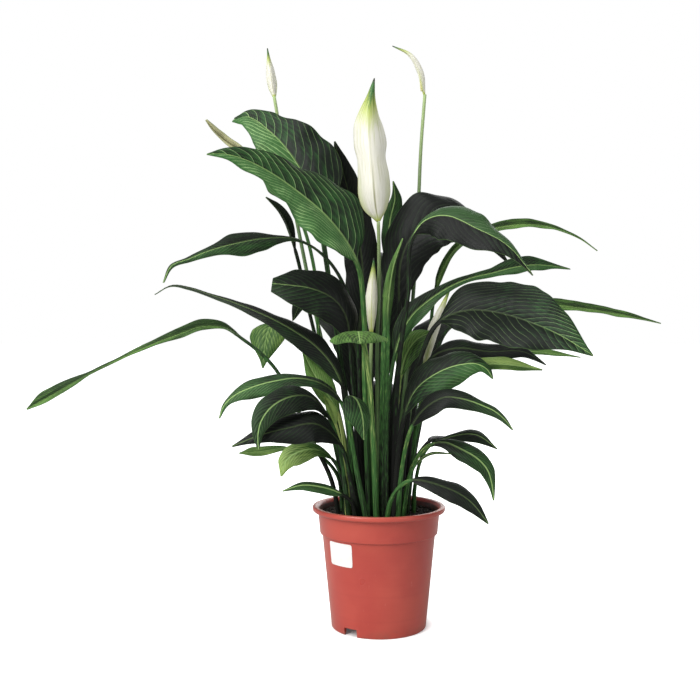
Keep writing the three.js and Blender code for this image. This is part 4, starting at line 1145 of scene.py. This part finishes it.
def add_crumb(built, x, y, rng):
    """An angular lump of peat or bark that sits in the surface."""
    size = rng.uniform(*CRUMB_SIZES) * MM
    turn = Matrix.Rotation(rng.uniform(0, 2 * math.pi), 4, "Z")
    tilt = Matrix.Rotation(rng.uniform(0, math.pi), 4, "X")
    shape = Matrix.Diagonal((size, size * rng.uniform(0.5, 1.0), size * rng.uniform(0.35, 0.8), 1.0))
    place = Matrix.Translation((x, y, min(mix_top(x, y) + size * 0.25, POT_HEIGHT - 4 * MM)))
    made = bmesh.ops.create_icosphere(built, subdivisions=1, radius=1.0, matrix=place @ turn @ tilt @ shape)
    for vertex in made["verts"]:
        vertex.co += Vector(rng.normal(0.0, 0.16 * size, 3))


def mix_material():
    g = Graph("potting_mix")
    where = g.place()
    lumps = g.noise(where, 260.0, 5.0, 0.65)
    bits = g.cells(where, 700.0)
    base = g.mix(g.fade(lumps, 0.3, 0.7), colour(26, 24, 22), colour(52, 46, 40))
    base = g.mix(g.times(g.fade(bits, 0.22, 0.05), 0.35), base, colour(92, 80, 64))
    pale = g.fade(g.noise(where, 520.0, 1.0), 0.74, 0.78)
    base = g.mix(g.times(pale, 0.5), base, colour(150, 142, 124))
    return g.finish(
        Base_Color=base,
        Roughness=g.fade(lumps, 0.2, 0.8, 0.8, 0.97),
        Normal=g.bump(g.plus(lumps, g.times(bits, 0.5)), 1.2 * MM, 0.9),
        Specular_IOR_Level=0.2,
    )


# ---------------------------------------------------------------- floor

FLOOR_SIZE = 30.0  # from the middle to each side
FLOOR_GLOW = 0.70  # overexposes the floor, as in a high-key studio picture
FLOOR_BOUNCE = 0.45  # how much of its paleness lights the object from below


def make_floor():
    corners = [(-1, -1), (1, -1), (1, 1), (-1, 1)]
    vertices = [(x * FLOOR_SIZE, y * FLOOR_SIZE, 0.0) for x, y in corners]
    g = Graph("floor")
    where = g.place()
    cloud = g.noise(where, 1.2, 2.0)
    base = g.mix(g.fade(cloud, 0.3, 0.7), colour(250, 250, 249), colour(244, 244, 243))
    # Painted contact shadow: the glow drops to a tenth round and under the pot's foot.
    glow_with_painted_shadow = g.fade(g.from_axis(where), 0.9 * FOOT_R, 1.25 * FOOT_R, 0.1 * FLOOR_GLOW, FLOOR_GLOW)
    seen = g.add("ShaderNodeLightPath", {}, "Is Camera Ray")
    bounced = (FLOOR_BOUNCE, FLOOR_BOUNCE, FLOOR_BOUNCE, 1.0)
    material = g.finish(
        Base_Color=g.mix(seen, bounced, base),
        Roughness=0.85,
        Emission_Color=WHITE,
        Emission_Strength=g.times(seen, glow_with_painted_shadow),
    )
    floor = make_object("floor", vertices, [(0, 1, 2, 3)], material)


# ---------------------------------------------------------------- the whole plant

MATERIALS = {slot: leaf_material(slot) for slot in LEAF_COLOURS}
MATERIALS.update(
    spathe=spathe_material(),
    flower_stalk=stalk_material(),
    spadix=spadix_material(),
    pot_plastic=plastic_material(),
    label_paper=paper_material(),
    potting_mix=mix_material(),
)


def make_plant():
    for node in sorted(NODES):
        if node.startswith("leaf_"):
            make_leaf(node)
        elif node.endswith("_stalk"):
            make_round(node, "stalk")
        elif node.endswith("_spadix"):
            make_round(node, "spadix")
        elif node.endswith("_spathe") and node.startswith("flower_low"):
            make_round(node, "closed spathe")
        elif node.endswith("_spathe"):
            make_open_spathe(node)


make_camera()
make_world()
make_lights()
make_floor()
make_pot()
make_label()
make_mix()
make_plant()

bpy.context.scene.view_settings.view_transform = "Standard"
